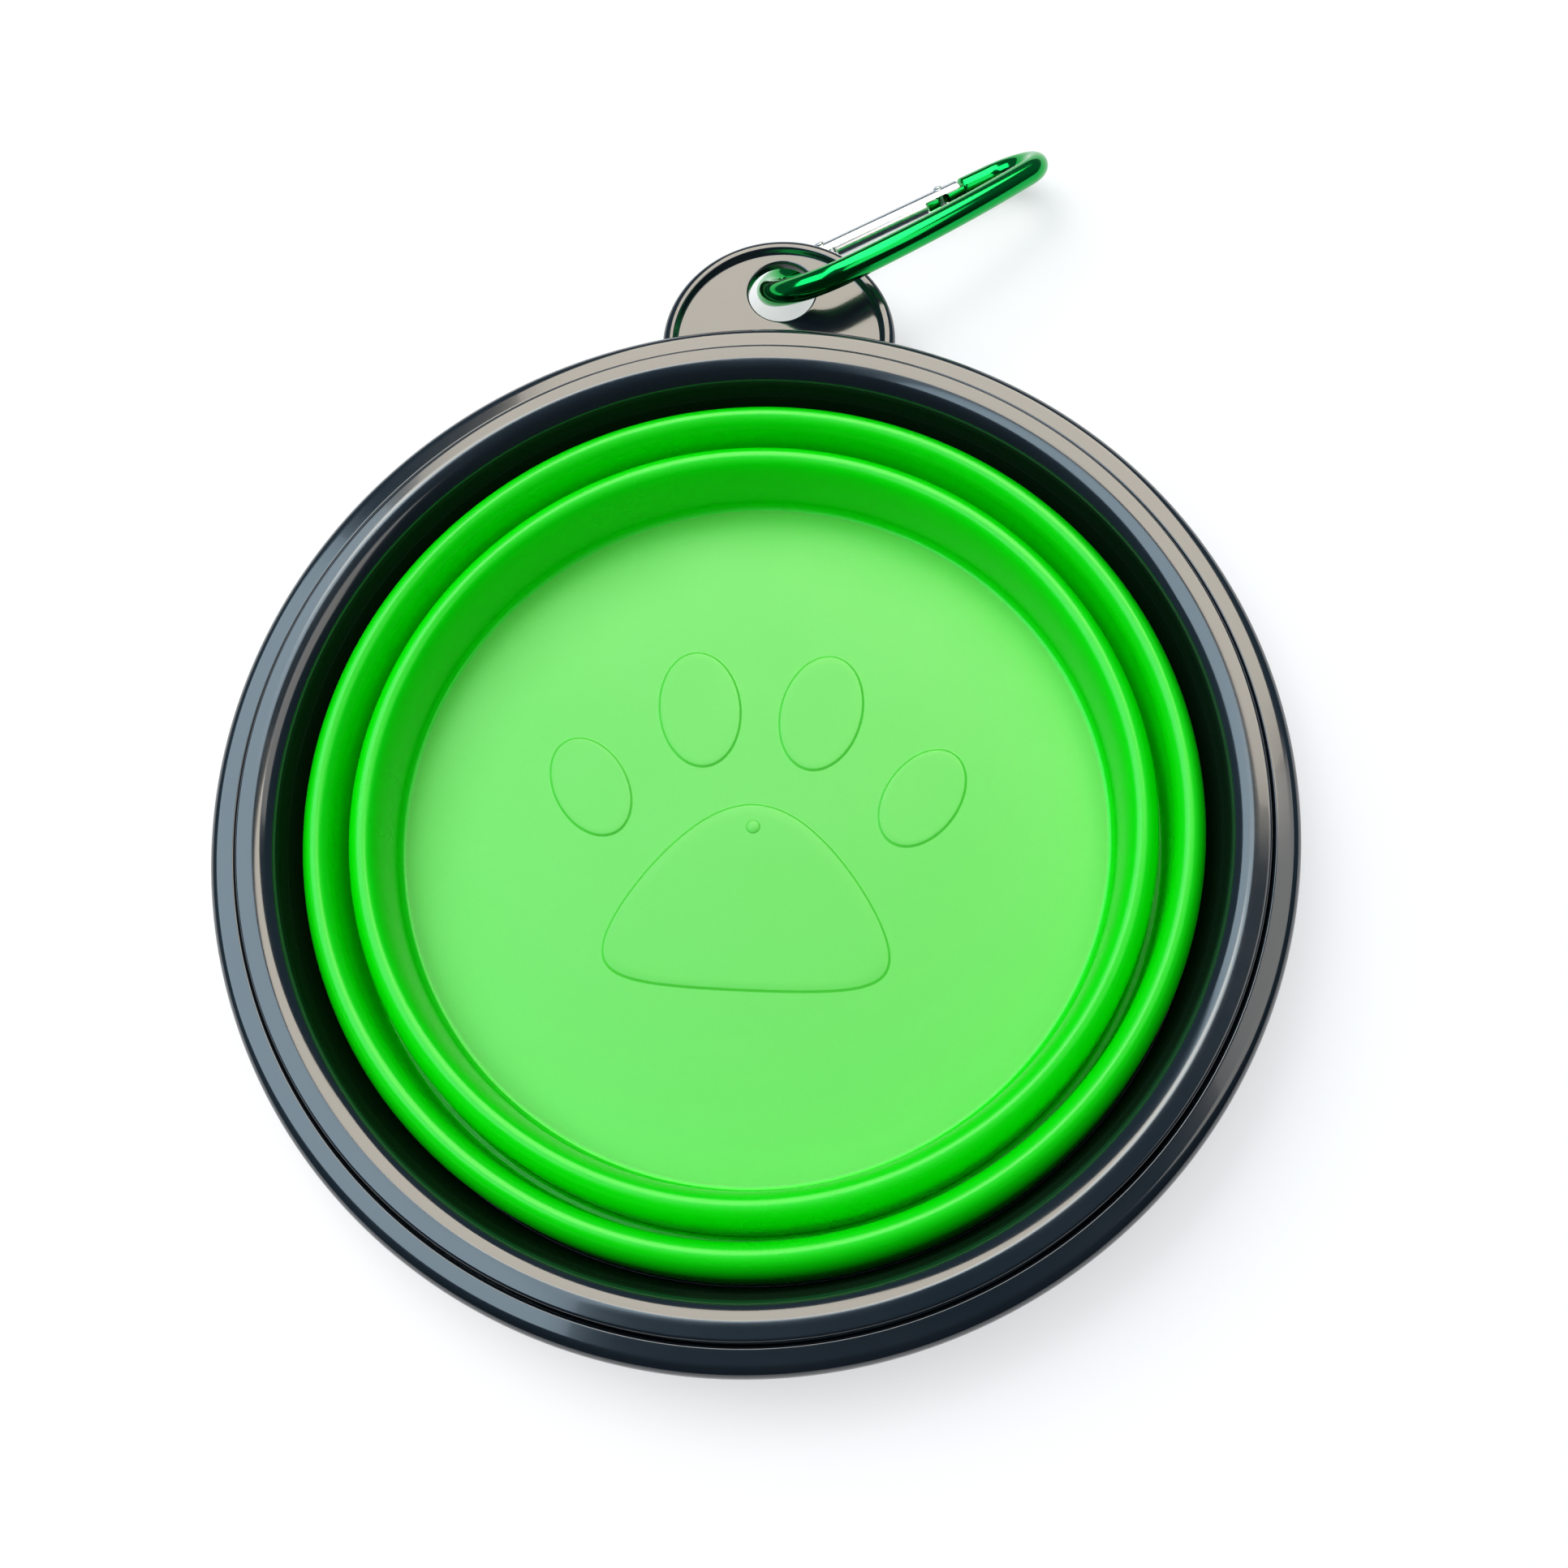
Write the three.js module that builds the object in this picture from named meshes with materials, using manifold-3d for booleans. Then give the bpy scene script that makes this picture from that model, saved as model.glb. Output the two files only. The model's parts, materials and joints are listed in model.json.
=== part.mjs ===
// Folding travel bowl for pets, folded flat, with a carabiner in the ear of its rim.
// Millimetres, +Z up. The origin is the middle of the base's underside, and the ear points along +Y.

import * as THREE from "three";
import { mergeVertices } from "three/addons/utils/BufferGeometryUtils.js";
import Module from "manifold-3d";

const wasm = await Module();
wasm.setup();

// Rim
const RIM_D = 130; // outer diameter
const FOLDED_H = 15; // underside of the base to the crest of the rim's bead
const RIM_H = 7.6; // underside of the rim to the crest of its bead
const BAND_W = 3.4; // outer band, outside the parting line
const PARTING_W = 0.4; // parting line between the two rings
const CLAMP_W = 5; // clamp ring, at its foot
const BEAD_RISE = 1.2; // crest of the bead over the outer band
const BEAD_EDGE = 0.4; // rounding of the bead at the parting line
const BEAD_ROUND_W = 2.6; // rounding of the bead towards the bowl
const BEAD_ROUND_H = 3.4;
const BEAD_LEAN = 0.4; // lean of the clamp ring's inner wall
const SHOULDER_W = 1.2; // rounded shoulder of the outer band
const SHOULDER_H = 1.4;
const SKIRT_CHAMFER = 0.8; // lower outer edge of the rim
const SHELF_T = 1.4; // shelf under the upper wall's flange
const FLANGE_T = 1.5;
const UPPER_LEAN = 0.9; // upper wall, lip to outer valley

// Ear
const EAR_R = 15.5;
const EAR_REACH = 15.6; // outer edge of the ear, outside the rim
const EAR_LIFT = 0.6; // underside of the ear over the underside of the rim
const EAR_T = 1.6; // plate
const EAR_BORDER_W = 2.3;
const EAR_BORDER_H = 0.8; // border over the plate
const HOLE_D = 9;
const HOLE_EDGE = 7.8; // middle of the hole to the ear's outer edge

// Soft body
const WALL_T = 1.7;
const WEB_T = 1.1;
const CREST_W = 1.8; // half width of both crests
const CREST_H = 1.3; // rounding of both crests
const OUTER_WEB_LEAN = 1.4; // outer web, valley to crest
const RING_LEAN = 0.1; // middle ring, crest to inner valley
const INNER_WEB_LEAN = 1.1; // inner web, valley to crest
const PAN_LEAN = 0.8; // lower wall, crest to floor
const OUTER_CREST_DROP = 1.9; // crest below the rim's bead
const INNER_CREST_DROP = 3;
const TOE_Z = 0.5; // underside of both valleys above the ground
const TOE_T = 1;
const FLOOR_T = 2;
const FLOOR_FILLET = 1.2;
const FOOT_CHAMFER = 1.4; // lower outer edge of the base

// Carabiner
const CLIP_L = 45.2;
const CLIP_W = 19.7; // at the wide end, in the ear
const ROD_D = 3.5;
const FAR_BOW_R = 4.9; // rod's middle line round the narrow end
const SPINE_R = 83; // rod's middle line along the bowed spine
const CLIP_TURN = 30.2; // degrees from +X
const CLIP_TILT = 43; // degrees from upright, its spine towards the bowl
const CLIP_SET = 1.15; // rod's middle behind the hole's middle
const CLIP_OUT = 0.95; // rod's middle outside the hole's middle
const NOSE_L = 10.9; // end of the nose to the far end of the carabiner
const TONGUE_T = 1.2;
const TONGUE_H = 2.6;
const HOOK_L = 1.6; // hook beyond its notch
const LATCH_INSET = 2.9; // latch pin to the free end of the gate
const RIVET_D = 1.4;
const LATCH_PIN_D = 1.2;
const PIN_PROUD = 0.3; // ends of rivet and pin over the gate's surface
const BORE_D = 2.3;
const BORE_L = 8;
const WIRE_D = 0.35;
const SPRING_D = 1.6; // outside the coil
const SPRING_PITCH = 0.85;
const PLUNGER_D = 1.5;
const PLUNGER_L = 2.2;

// Clearances
const FIT = 0.3; // pieces that rest on each other
const SLIDE = 0.4; // crest passing the toe outside it
const TURN = 0.4; // gate turning in front of the rod's ends
const PIN_FIT = 0.25; // round a pin, each side

// Facets
const ROUND = 64;
const ARC_STEPS = 4;
const EAR_STEPS = 16;
const HOLE_SIDES = 32;
const ROD_SIDES = 12;
const ROD_STEPS = 46;
const PIN_SIDES = 12;
const CURL_STEPS = 8;
const CURL_SIDES = 5;

// Heights worked out from the driving sizes
const RIM_Z = FOLDED_H - RIM_H;
const BAND_TOP = FOLDED_H - BEAD_RISE;
const SHELF_TOP = RIM_Z + SHELF_T;
const FLANGE_Z = SHELF_TOP + FIT;
const FLANGE_TOP = FLANGE_Z + FLANGE_T;
const CLAMP_Z = FLANGE_TOP + FIT;
const TOE_TOP = TOE_Z + TOE_T;
const WEB_Z = TOE_TOP + FIT;
const OUTER_CREST_Z = FOLDED_H - OUTER_CREST_DROP - CREST_H;
const INNER_CREST_Z = FOLDED_H - INNER_CREST_DROP - CREST_H;

// Radii worked out from the rim inwards
const RIM_R = RIM_D / 2;
const BAND_IN = RIM_R - BAND_W;
const CLAMP_OUT = BAND_IN - PARTING_W;
const LIP_R = CLAMP_OUT - CLAMP_W;
const SHELF_IN = LIP_R + WALL_T + FIT;
const OUTER_VALLEY = LIP_R - UPPER_LEAN;
const OUTER_WEB_LOW = OUTER_VALLEY - FIT;
const OUTER_CREST = OUTER_WEB_LOW - OUTER_WEB_LEAN;
const INNER_VALLEY = OUTER_CREST - 2 * CREST_W - RING_LEAN;
const INNER_WEB_LOW = INNER_VALLEY - FIT;
const INNER_CREST = INNER_WEB_LOW - INNER_WEB_LEAN;
const PAN_R = INNER_CREST - 2 * CREST_W - PAN_LEAN;

// Ear and carabiner places
const EAR_Y = RIM_R + EAR_REACH - EAR_R;
const EAR_Z = RIM_Z + EAR_LIFT;
const EAR_TOP = EAR_Z + EAR_T;
const HOLE_Y = EAR_Y + EAR_R - HOLE_EDGE;
const ROD_R = ROD_D / 2;
const BOW_R = CLIP_W / 2 - ROD_R;
const SPAN = CLIP_L - ROD_D;
const ROD_END = BOW_R + FIT;
const PIVOT_X = ROD_END + TURN + ROD_R;
const NOSE_X = SPAN + ROD_R - NOSE_L;
const GATE_END = NOSE_X - TURN;
const TONGUE_R = TONGUE_H / 2;
const SLOT_W = TONGUE_T + 2 * FIT;
const NOTCH_W = LATCH_PIN_D + 2 * PIN_FIT;
const NOTCH_X = GATE_END - LATCH_INSET;
const HOOK_X = NOTCH_X - NOTCH_W / 2 - HOOK_L;
const LATCH_SLOT_X = HOOK_X - TURN;
const PIVOT_SLOT_X = PIVOT_X + TONGUE_R + TURN;

// Mesh and boolean helpers

/** Turns a closed geometry into a solid for joining and cutting. */
function solid(geometry) {
  const bare = geometry.index ? geometry.toNonIndexed() : geometry.clone();
  bare.deleteAttribute("normal");
  bare.deleteAttribute("uv");
  const merged = mergeVertices(bare);
  const mesh = new wasm.Mesh({
    numProp: 3,
    vertProperties: Float32Array.from(merged.attributes.position.array),
    triVerts: Uint32Array.from(merged.index.array),
  });
  return new wasm.Manifold(mesh);
}

/** Turns a solid back into a geometry. */
function geometryOf(body) {
  const mesh = body.getMesh();
  const geometry = new THREE.BufferGeometry();
  geometry.setAttribute("position", new THREE.BufferAttribute(mesh.vertProperties, 3));
  geometry.setIndex(new THREE.BufferAttribute(mesh.triVerts, 1));
  return geometry;
}

/** Points of an elliptical arc in a profile; angles in degrees. */
function arc(r, z, radiusR, radiusZ, from, to, steps = ARC_STEPS) {
  return Array.from({ length: steps + 1 }, (_, i) => {
    const angle = THREE.MathUtils.degToRad(from + ((to - from) * i) / steps);
    return [r + radiusR * Math.cos(angle), z + radiusZ * Math.sin(angle)];
  });
}

/** Turns a profile of [radius, height] points, given counter-clockwise, about the Z axis. */
function turned(profile) {
  const points = profile.map(([r, z]) => new THREE.Vector2(r, z));
  if (profile[0][0] > 0) points.push(points[0].clone());
  return new THREE.LatheGeometry(points, ROUND).rotateX(Math.PI / 2);
}

/** Extrudes a shape along Z from one height to another. */
function plate(shape, low, high) {
  const options = { depth: high - low, bevelEnabled: false, curveSegments: EAR_STEPS };
  return new THREE.ExtrudeGeometry(shape, options).translate(0, 0, low);
}

/** A disc shape with a given number of sides. */
function disc(x, y, radius, sides) {
  const corners = Array.from({ length: sides }, (_, i) => {
    const angle = (2 * Math.PI * i) / sides;
    return new THREE.Vector2(x + radius * Math.cos(angle), y + radius * Math.sin(angle));
  });
  return new THREE.Shape(corners);
}

/** A box between two corners. */
function block(low, high) {
  const size = high.map((value, i) => value - low[i]);
  const middle = high.map((value, i) => (value + low[i]) / 2);
  return new THREE.BoxGeometry(...size).translate(...middle);
}

/** A round rod along X, on the line at height y. */
function rodAlongX(radius, from, to, y, sides) {
  const geometry = new THREE.CylinderGeometry(radius, radius, to - from, sides);
  return geometry.rotateZ(Math.PI / 2).translate((from + to) / 2, y, 0);
}

/** A round pin across the carabiner's plane. */
function crossPin(x, y, diameter, half) {
  return plate(disc(x, y, diameter / 2, PIN_SIDES), -half, half);
}

/** A named sub-part with its own finish. */
function part(name, geometry, color, roughness, metalness) {
  const mesh = new THREE.Mesh(geometry, new THREE.MeshStandardMaterial({ color, roughness, metalness }));
  mesh.name = name;
  return mesh;
}

// Rim

/** Outline of the ear, or of its recess, from the rim's band outwards. */
function earShape(radius, rootRadius) {
  const rootY = Math.sqrt(rootRadius ** 2 - radius ** 2);
  const rootAngle = Math.atan2(rootY, radius);
  const shape = new THREE.Shape();
  shape.moveTo(radius, rootY);
  shape.lineTo(radius, EAR_Y);
  shape.absarc(0, EAR_Y, radius, 0, Math.PI, false);
  shape.lineTo(-radius, rootY);
  shape.absarc(0, 0, rootRadius, Math.PI - rootAngle, rootAngle, true);
  return shape;
}

/** Outer ring of the rim, with its shelf and the ear that the carabiner hangs in. */
function rimFrame() {
  const ring = turned([
    [SHELF_IN, RIM_Z],
    [RIM_R - SKIRT_CHAMFER, RIM_Z],
    [RIM_R, RIM_Z + SKIRT_CHAMFER],
    ...arc(RIM_R - SHOULDER_W, BAND_TOP - SHOULDER_H, SHOULDER_W, SHOULDER_H, 0, 90),
    [BAND_IN, BAND_TOP],
    [BAND_IN, SHELF_TOP],
    [SHELF_IN, SHELF_TOP],
  ]);
  const root = RIM_R - BAND_W / 2;
  const ear = solid(plate(earShape(EAR_R, root), EAR_Z, EAR_TOP + EAR_BORDER_H));
  const recess = solid(plate(earShape(EAR_R - EAR_BORDER_W, root), EAR_TOP, FOLDED_H));
  const hole = solid(plate(disc(0, HOLE_Y, HOLE_D / 2, HOLE_SIDES), 0, FOLDED_H));
  return geometryOf(solid(ring).add(ear.subtract(recess).subtract(hole)));
}

/** Inner ring with the rounded bead; it presses the upper wall's flange on the shelf. */
function clampRing() {
  const roundR = LIP_R + BEAD_LEAN + BEAD_ROUND_W;
  return turned([
    [LIP_R, CLAMP_Z],
    [CLAMP_OUT, CLAMP_Z],
    ...arc(CLAMP_OUT - BEAD_EDGE, FOLDED_H - BEAD_EDGE, BEAD_EDGE, BEAD_EDGE, 0, 90),
    ...arc(roundR, FOLDED_H - BEAD_ROUND_H, BEAD_ROUND_W, BEAD_ROUND_H, 90, 180),
  ]);
}

/** Hard upper wall, from the trapped flange down to the toe that the soft body is moulded on. */
function upperWall() {
  return turned([
    [OUTER_CREST + SLIDE, TOE_Z],
    [OUTER_VALLEY, TOE_Z],
    [OUTER_VALLEY + WALL_T, TOE_TOP],
    [LIP_R + WALL_T, FLANGE_Z],
    [CLAMP_OUT, FLANGE_Z],
    [CLAMP_OUT, FLANGE_TOP],
    [LIP_R, FLANGE_TOP],
    [OUTER_VALLEY, TOE_TOP],
    [OUTER_CREST + SLIDE, TOE_TOP],
  ]);
}

// Soft body, split at its living hinges

/** Thin web of a fold, from its valley up to the underside of its crest. */
function foldWeb(lowRadius, crestRadius, crestZ) {
  return turned([
    [lowRadius - WEB_T, WEB_Z],
    [lowRadius, WEB_Z],
    [crestRadius, crestZ - FIT],
    [crestRadius - WEB_T, crestZ - FIT],
  ]);
}

/** Middle band: a rounded crest, a wall, and the toe of the inner valley. */
function middleRing() {
  return turned([
    [INNER_CREST + SLIDE, TOE_Z],
    [INNER_VALLEY, TOE_Z],
    [INNER_VALLEY + WALL_T, TOE_TOP],
    [OUTER_CREST - WEB_T - FIT, OUTER_CREST_Z],
    ...arc(OUTER_CREST - CREST_W, OUTER_CREST_Z, CREST_W, CREST_H, 0, 180, 2 * ARC_STEPS),
    [INNER_VALLEY, TOE_TOP],
    [INNER_CREST + SLIDE, TOE_TOP],
  ]);
}

/** Lower wall with its rounded crest, and the floor that the bowl stands on. */
function basePan() {
  return turned([
    [0, 0],
    [PAN_R + WALL_T - FOOT_CHAMFER, 0],
    [PAN_R + WALL_T, FOOT_CHAMFER],
    [INNER_CREST - WEB_T - FIT, INNER_CREST_Z],
    ...arc(INNER_CREST - CREST_W, INNER_CREST_Z, CREST_W, CREST_H, 0, 180, 2 * ARC_STEPS),
    ...arc(PAN_R - FLOOR_FILLET, FLOOR_T + FLOOR_FILLET, FLOOR_FILLET, FLOOR_FILLET, 0, -90),
    [0, FLOOR_T],
  ]);
}

// Carabiner, drawn in its own plane: X along it, Y towards its spine, Z across the plane.
// X is 0 where the rod's middle line turns in the ear's hole.

/** Middle of the spine's arc, which runs smoothly into both bows. */
function spineMiddle(near, far) {
  const along = far.clone().sub(near);
  const apart = along.length();
  along.normalize();
  const across = new THREE.Vector2(along.y, -along.x);
  const nearReach = SPINE_R - BOW_R;
  const farReach = SPINE_R - FAR_BOW_R;
  const ahead = (nearReach ** 2 - farReach ** 2 + apart ** 2) / (2 * apart);
  const aside = Math.sqrt(nearReach ** 2 - ahead ** 2);
  return near.clone().addScaledVector(along, ahead).addScaledVector(across, aside);
}

/** Middle line of the bent rod, from the gate's pivot round the spine to the nose. */
class RodLine extends THREE.Curve {
  constructor() {
    super();
    const near = new THREE.Vector2(BOW_R, 0);
    const far = new THREE.Vector2(SPAN - FAR_BOW_R, FAR_BOW_R - BOW_R);
    const middle = spineMiddle(near, far);
    const from = near.clone().sub(middle).angle();
    const to = far.clone().sub(middle).angle();
    this.outline = new THREE.Path();
    this.outline.moveTo(ROD_END, -BOW_R);
    this.outline.lineTo(BOW_R, -BOW_R);
    this.outline.absarc(near.x, near.y, BOW_R, -Math.PI / 2, from, true);
    this.outline.absarc(middle.x, middle.y, SPINE_R, from, to, true);
    this.outline.absarc(far.x, far.y, FAR_BOW_R, to, -Math.PI / 2, true);
    this.outline.lineTo(NOSE_X, -BOW_R);
  }

  getPoint(t, target = new THREE.Vector3()) {
    const point = this.outline.getPoint(t);
    return target.set(point.x, point.y, 0);
  }
}

/** Flat tongue for the gate's pivot, rounded about the rivet. */
function pivotTongue() {
  const bar = block([BOW_R, -BOW_R - TONGUE_R, -TONGUE_T / 2], [PIVOT_X, -BOW_R + TONGUE_R, TONGUE_T / 2]);
  const end = crossPin(PIVOT_X, -BOW_R, TONGUE_H, TONGUE_T / 2);
  const eye = crossPin(PIVOT_X, -BOW_R, RIVET_D + 2 * PIN_FIT, TONGUE_T);
  return solid(bar).add(solid(end)).subtract(solid(eye));
}

/** Flat tongue of the nose, with the notch that holds the gate's latch pin. */
function noseHook() {
  const low = [HOOK_X, -BOW_R - TONGUE_R, -TONGUE_T / 2];
  const high = [NOSE_X + ROD_R, -BOW_R + TONGUE_R, TONGUE_T / 2];
  const notchLow = [NOTCH_X - NOTCH_W / 2, -BOW_R, -TONGUE_T];
  const notchHigh = [NOTCH_X + NOTCH_W / 2, -BOW_R + TONGUE_H, TONGUE_T];
  const seat = crossPin(NOTCH_X, -BOW_R, NOTCH_W, TONGUE_T);
  return solid(block(low, high)).subtract(solid(block(notchLow, notchHigh))).subtract(solid(seat));
}

/** Bent rod with both tongues. */
function clipFrame() {
  const options = { steps: ROD_STEPS, extrudePath: new RodLine() };
  const rod = new THREE.ExtrudeGeometry(disc(0, 0, ROD_R, ROD_SIDES), options);
  return geometryOf(solid(rod).add(pivotTongue()).add(noseHook()));
}

/** Gate: a round bar, forked at both ends, with a bore for its spring. */
function clipGate() {
  const bar = solid(rodAlongX(ROD_R, PIVOT_X - ROD_R, GATE_END, -BOW_R, 2 * ROD_SIDES));
  const side = new THREE.Shape();
  side.moveTo(GATE_END + ROD_R, -BOW_R - ROD_D);
  side.lineTo(GATE_END + ROD_R, -BOW_R + ROD_D);
  side.lineTo(PIVOT_X, -BOW_R + ROD_D);
  side.lineTo(PIVOT_X, -BOW_R + ROD_R);
  side.absarc(PIVOT_X, -BOW_R, ROD_R, Math.PI / 2, -Math.PI / 2, false);
  side.lineTo(PIVOT_X, -BOW_R - ROD_D);
  const rounded = bar.intersect(solid(plate(side, -ROD_D, ROD_D)));
  const reach = ROD_D;
  const pivotSlot = block(
    [PIVOT_X - reach, -BOW_R - reach, -SLOT_W / 2],
    [PIVOT_SLOT_X, -BOW_R + reach, SLOT_W / 2],
  );
  const latchSlot = block(
    [LATCH_SLOT_X, -BOW_R - reach, -SLOT_W / 2],
    [GATE_END + reach, -BOW_R + reach, SLOT_W / 2],
  );
  const cuts = [
    pivotSlot,
    latchSlot,
    crossPin(PIVOT_X, -BOW_R, RIVET_D + 2 * PIN_FIT, reach),
    crossPin(NOTCH_X, -BOW_R, LATCH_PIN_D + 2 * PIN_FIT, reach),
    rodAlongX(BORE_D / 2, PIVOT_X, PIVOT_SLOT_X + BORE_L, -BOW_R, PIN_SIDES),
  ];
  return geometryOf(cuts.reduce((body, cut) => body.subtract(solid(cut)), rounded));
}

/** Middle line of the gate's coil. */
class CoilLine extends THREE.Curve {
  constructor(start, curls) {
    super();
    this.start = start;
    this.curls = curls;
    this.radius = (SPRING_D - WIRE_D) / 2;
  }

  getPoint(t, target = new THREE.Vector3()) {
    const angle = 2 * Math.PI * this.curls * t;
    const x = this.start + SPRING_PITCH * this.curls * t;
    return target.set(x, -BOW_R + this.radius * Math.cos(angle), this.radius * Math.sin(angle));
  }
}

/** Least gap of the coil to itself, between points more than half a curl apart. */
function coilGap(line) {
  const steps = line.curls * CURL_STEPS;
  const points = line.getPoints(steps);
  let least = Infinity;
  for (let i = 0; i <= steps; i += 1) {
    for (let j = i + CURL_STEPS / 2 + 1; j <= steps; j += 1) {
      least = Math.min(least, points[i].distanceTo(points[j]));
    }
  }
  return least - WIRE_D;
}

const PLUNGER_X = PIVOT_X + TONGUE_R + FIT;

/** Coil that closes the gate, between the plunger and the end of the bore. */
function gateSpring() {
  const start = PLUNGER_X + PLUNGER_L + FIT + WIRE_D / 2;
  const end = PIVOT_SLOT_X + BORE_L - FIT - WIRE_D / 2;
  const curls = Math.floor((end - start) / SPRING_PITCH);
  const line = new CoilLine(start, curls);
  console.log(`least gap of the coil to itself: ${coilGap(line).toFixed(2)} mm`);
  const options = { steps: curls * CURL_STEPS, extrudePath: line };
  return new THREE.ExtrudeGeometry(disc(0, 0, WIRE_D / 2, CURL_SIDES), options);
}

/** All pieces of the carabiner, turned and tilted into the ear's hole. */
function carabiner() {
  const half = ROD_R + PIN_PROUD;
  const plunger = rodAlongX(PLUNGER_D / 2, PLUNGER_X, PLUNGER_X + PLUNGER_L, -BOW_R, PIN_SIDES);
  const tilted = new THREE.Group();
  tilted.rotation.x = THREE.MathUtils.degToRad(90 + CLIP_TILT);
  tilted.position.set(-CLIP_SET, CLIP_OUT, 0);
  tilted.add(
    part("carabiner_frame", clipFrame(), 0x2f9c38, 0.25, 1),
    part("carabiner_gate", clipGate(), 0xd9dadb, 0.3, 1),
    part("gate_pivot_rivet", crossPin(PIVOT_X, -BOW_R, RIVET_D, half), 0xb9bbbd, 0.3, 1),
    part("gate_latch_pin", crossPin(NOTCH_X, -BOW_R, LATCH_PIN_D, half), 0xb9bbbd, 0.3, 1),
    part("gate_spring", gateSpring(), 0x9a9c9e, 0.35, 1),
    part("gate_plunger", plunger, 0xa9abad, 0.35, 1),
  );
  const turnedClip = new THREE.Group();
  turnedClip.rotation.z = THREE.MathUtils.degToRad(CLIP_TURN);
  turnedClip.position.set(0, HOLE_Y, EAR_Z + EAR_T / 2);
  turnedClip.add(tilted);
  return turnedClip;
}

const outerWeb = foldWeb(OUTER_WEB_LOW, OUTER_CREST, OUTER_CREST_Z);
const innerWeb = foldWeb(INNER_WEB_LOW, INNER_CREST, INNER_CREST_Z);
const bowl = new THREE.Group();
bowl.name = "collapsible_pet_bowl";
bowl.add(
  part("rim_frame", rimFrame(), 0x1c2329, 0.3, 0),
  part("clamp_ring", clampRing(), 0x1c2329, 0.3, 0),
  part("upper_wall", upperWall(), 0x1c2329, 0.3, 0),
  part("outer_fold_web", outerWeb, 0x16b81c, 0.45, 0),
  part("middle_ring", middleRing(), 0x16b81c, 0.45, 0),
  part("inner_fold_web", innerWeb, 0x16b81c, 0.45, 0),
  part("base_pan", basePan(), 0x63d84f, 0.7, 0),
  carabiner(),
);

export default bowl;
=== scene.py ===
"""Looks of a folding travel bowl for pets, folded flat.

A dark hard rim with a hanging ear, a soft green body of two nested folds and a small carabiner.
Sizes are in millimetres, and meshes are in metres in the part's own frame.
"""

import json
import logging
import math
from dataclasses import dataclass
from enum import Enum
from typing import Sequence

import bmesh
import bpy
import numpy as np
from mathutils import Matrix, Vector


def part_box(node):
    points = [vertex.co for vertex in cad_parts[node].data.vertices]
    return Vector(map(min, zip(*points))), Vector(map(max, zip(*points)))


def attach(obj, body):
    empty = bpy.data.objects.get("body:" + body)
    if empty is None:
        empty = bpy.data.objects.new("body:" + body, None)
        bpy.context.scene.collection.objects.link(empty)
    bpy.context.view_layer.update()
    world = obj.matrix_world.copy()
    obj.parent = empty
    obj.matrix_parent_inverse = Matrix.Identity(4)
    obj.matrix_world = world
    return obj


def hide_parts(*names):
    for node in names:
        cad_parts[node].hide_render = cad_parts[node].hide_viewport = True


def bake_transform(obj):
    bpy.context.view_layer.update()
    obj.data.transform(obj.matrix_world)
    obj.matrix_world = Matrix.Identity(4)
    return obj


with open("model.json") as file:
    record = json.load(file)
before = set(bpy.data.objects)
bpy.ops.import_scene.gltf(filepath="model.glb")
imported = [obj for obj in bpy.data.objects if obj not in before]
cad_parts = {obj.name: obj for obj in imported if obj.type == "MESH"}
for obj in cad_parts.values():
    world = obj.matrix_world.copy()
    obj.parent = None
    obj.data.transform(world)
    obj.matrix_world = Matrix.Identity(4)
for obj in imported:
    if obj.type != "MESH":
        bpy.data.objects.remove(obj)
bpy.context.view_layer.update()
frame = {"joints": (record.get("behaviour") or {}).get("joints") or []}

MM = 0.001
LOG = logging.getLogger("folding_bowl")
Colour = tuple[float, float, float]
Pair = tuple[float, float]


class Body(Enum):
    """Moving bodies of the bowl."""

    BASE = "base"
    MIDDLE = "middle"
    RIM = "rim"
    CARABINER = "carabiner"
    GATE = "gate"


class Slot(Enum):
    """Finish slots of the record."""

    RIM_PLASTIC = "rim_plastic"
    SOFT_BODY = "soft_body"
    GREEN_ANODISED = "green_anodised"
    BARE_ALUMINIUM = "bare_aluminium"
    STEEL = "steel"


# Sizes read from the frame


def outer_radius(node: str) -> float:
    """Outer radius of a turned CAD node, in mm."""
    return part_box(node)[1].x / MM


def low(node: str) -> float:
    """Lowest height of a CAD node, in mm."""
    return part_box(node)[0].z / MM


def high(node: str) -> float:
    """Highest height of a CAD node, in mm."""
    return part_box(node)[1].z / MM


def joint(name: str) -> dict:
    """The record's row of one joint."""
    return next(row for row in frame["joints"] if row["name"] == name)


# Profiles and outlines

# Largest share of a side that a rounded corner may take, and the shares that set the guard points beside it
CORNER_OF_SIDE = 0.45
GUARD_OF_CORNER = 0.25
GUARD_OF_SIDE = 0.04


def ellipse_arc(middle: Pair, radii: Pair, start: float, end: float, steps: int) -> np.ndarray:
    """Points of an elliptical arc: middle + (rx cos a, ry sin a), a going evenly from start to end.

    Args:
        middle: Middle of the ellipse.
        radii: Half axes.
        start: First angle in degrees.
        end: Last angle in degrees.
        steps: Number of chords.

    Returns:
        Points as an array of steps + 1 rows.
    """
    angle = np.radians(np.linspace(start, end, steps + 1))
    return np.column_stack([middle[0] + radii[0] * np.cos(angle), middle[1] + radii[1] * np.sin(angle)])


def eased(share: np.ndarray) -> np.ndarray:
    """Smooth step 3 s^2 - 2 s^3, level at both ends."""
    return share * share * (3 - 2 * share)


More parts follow.
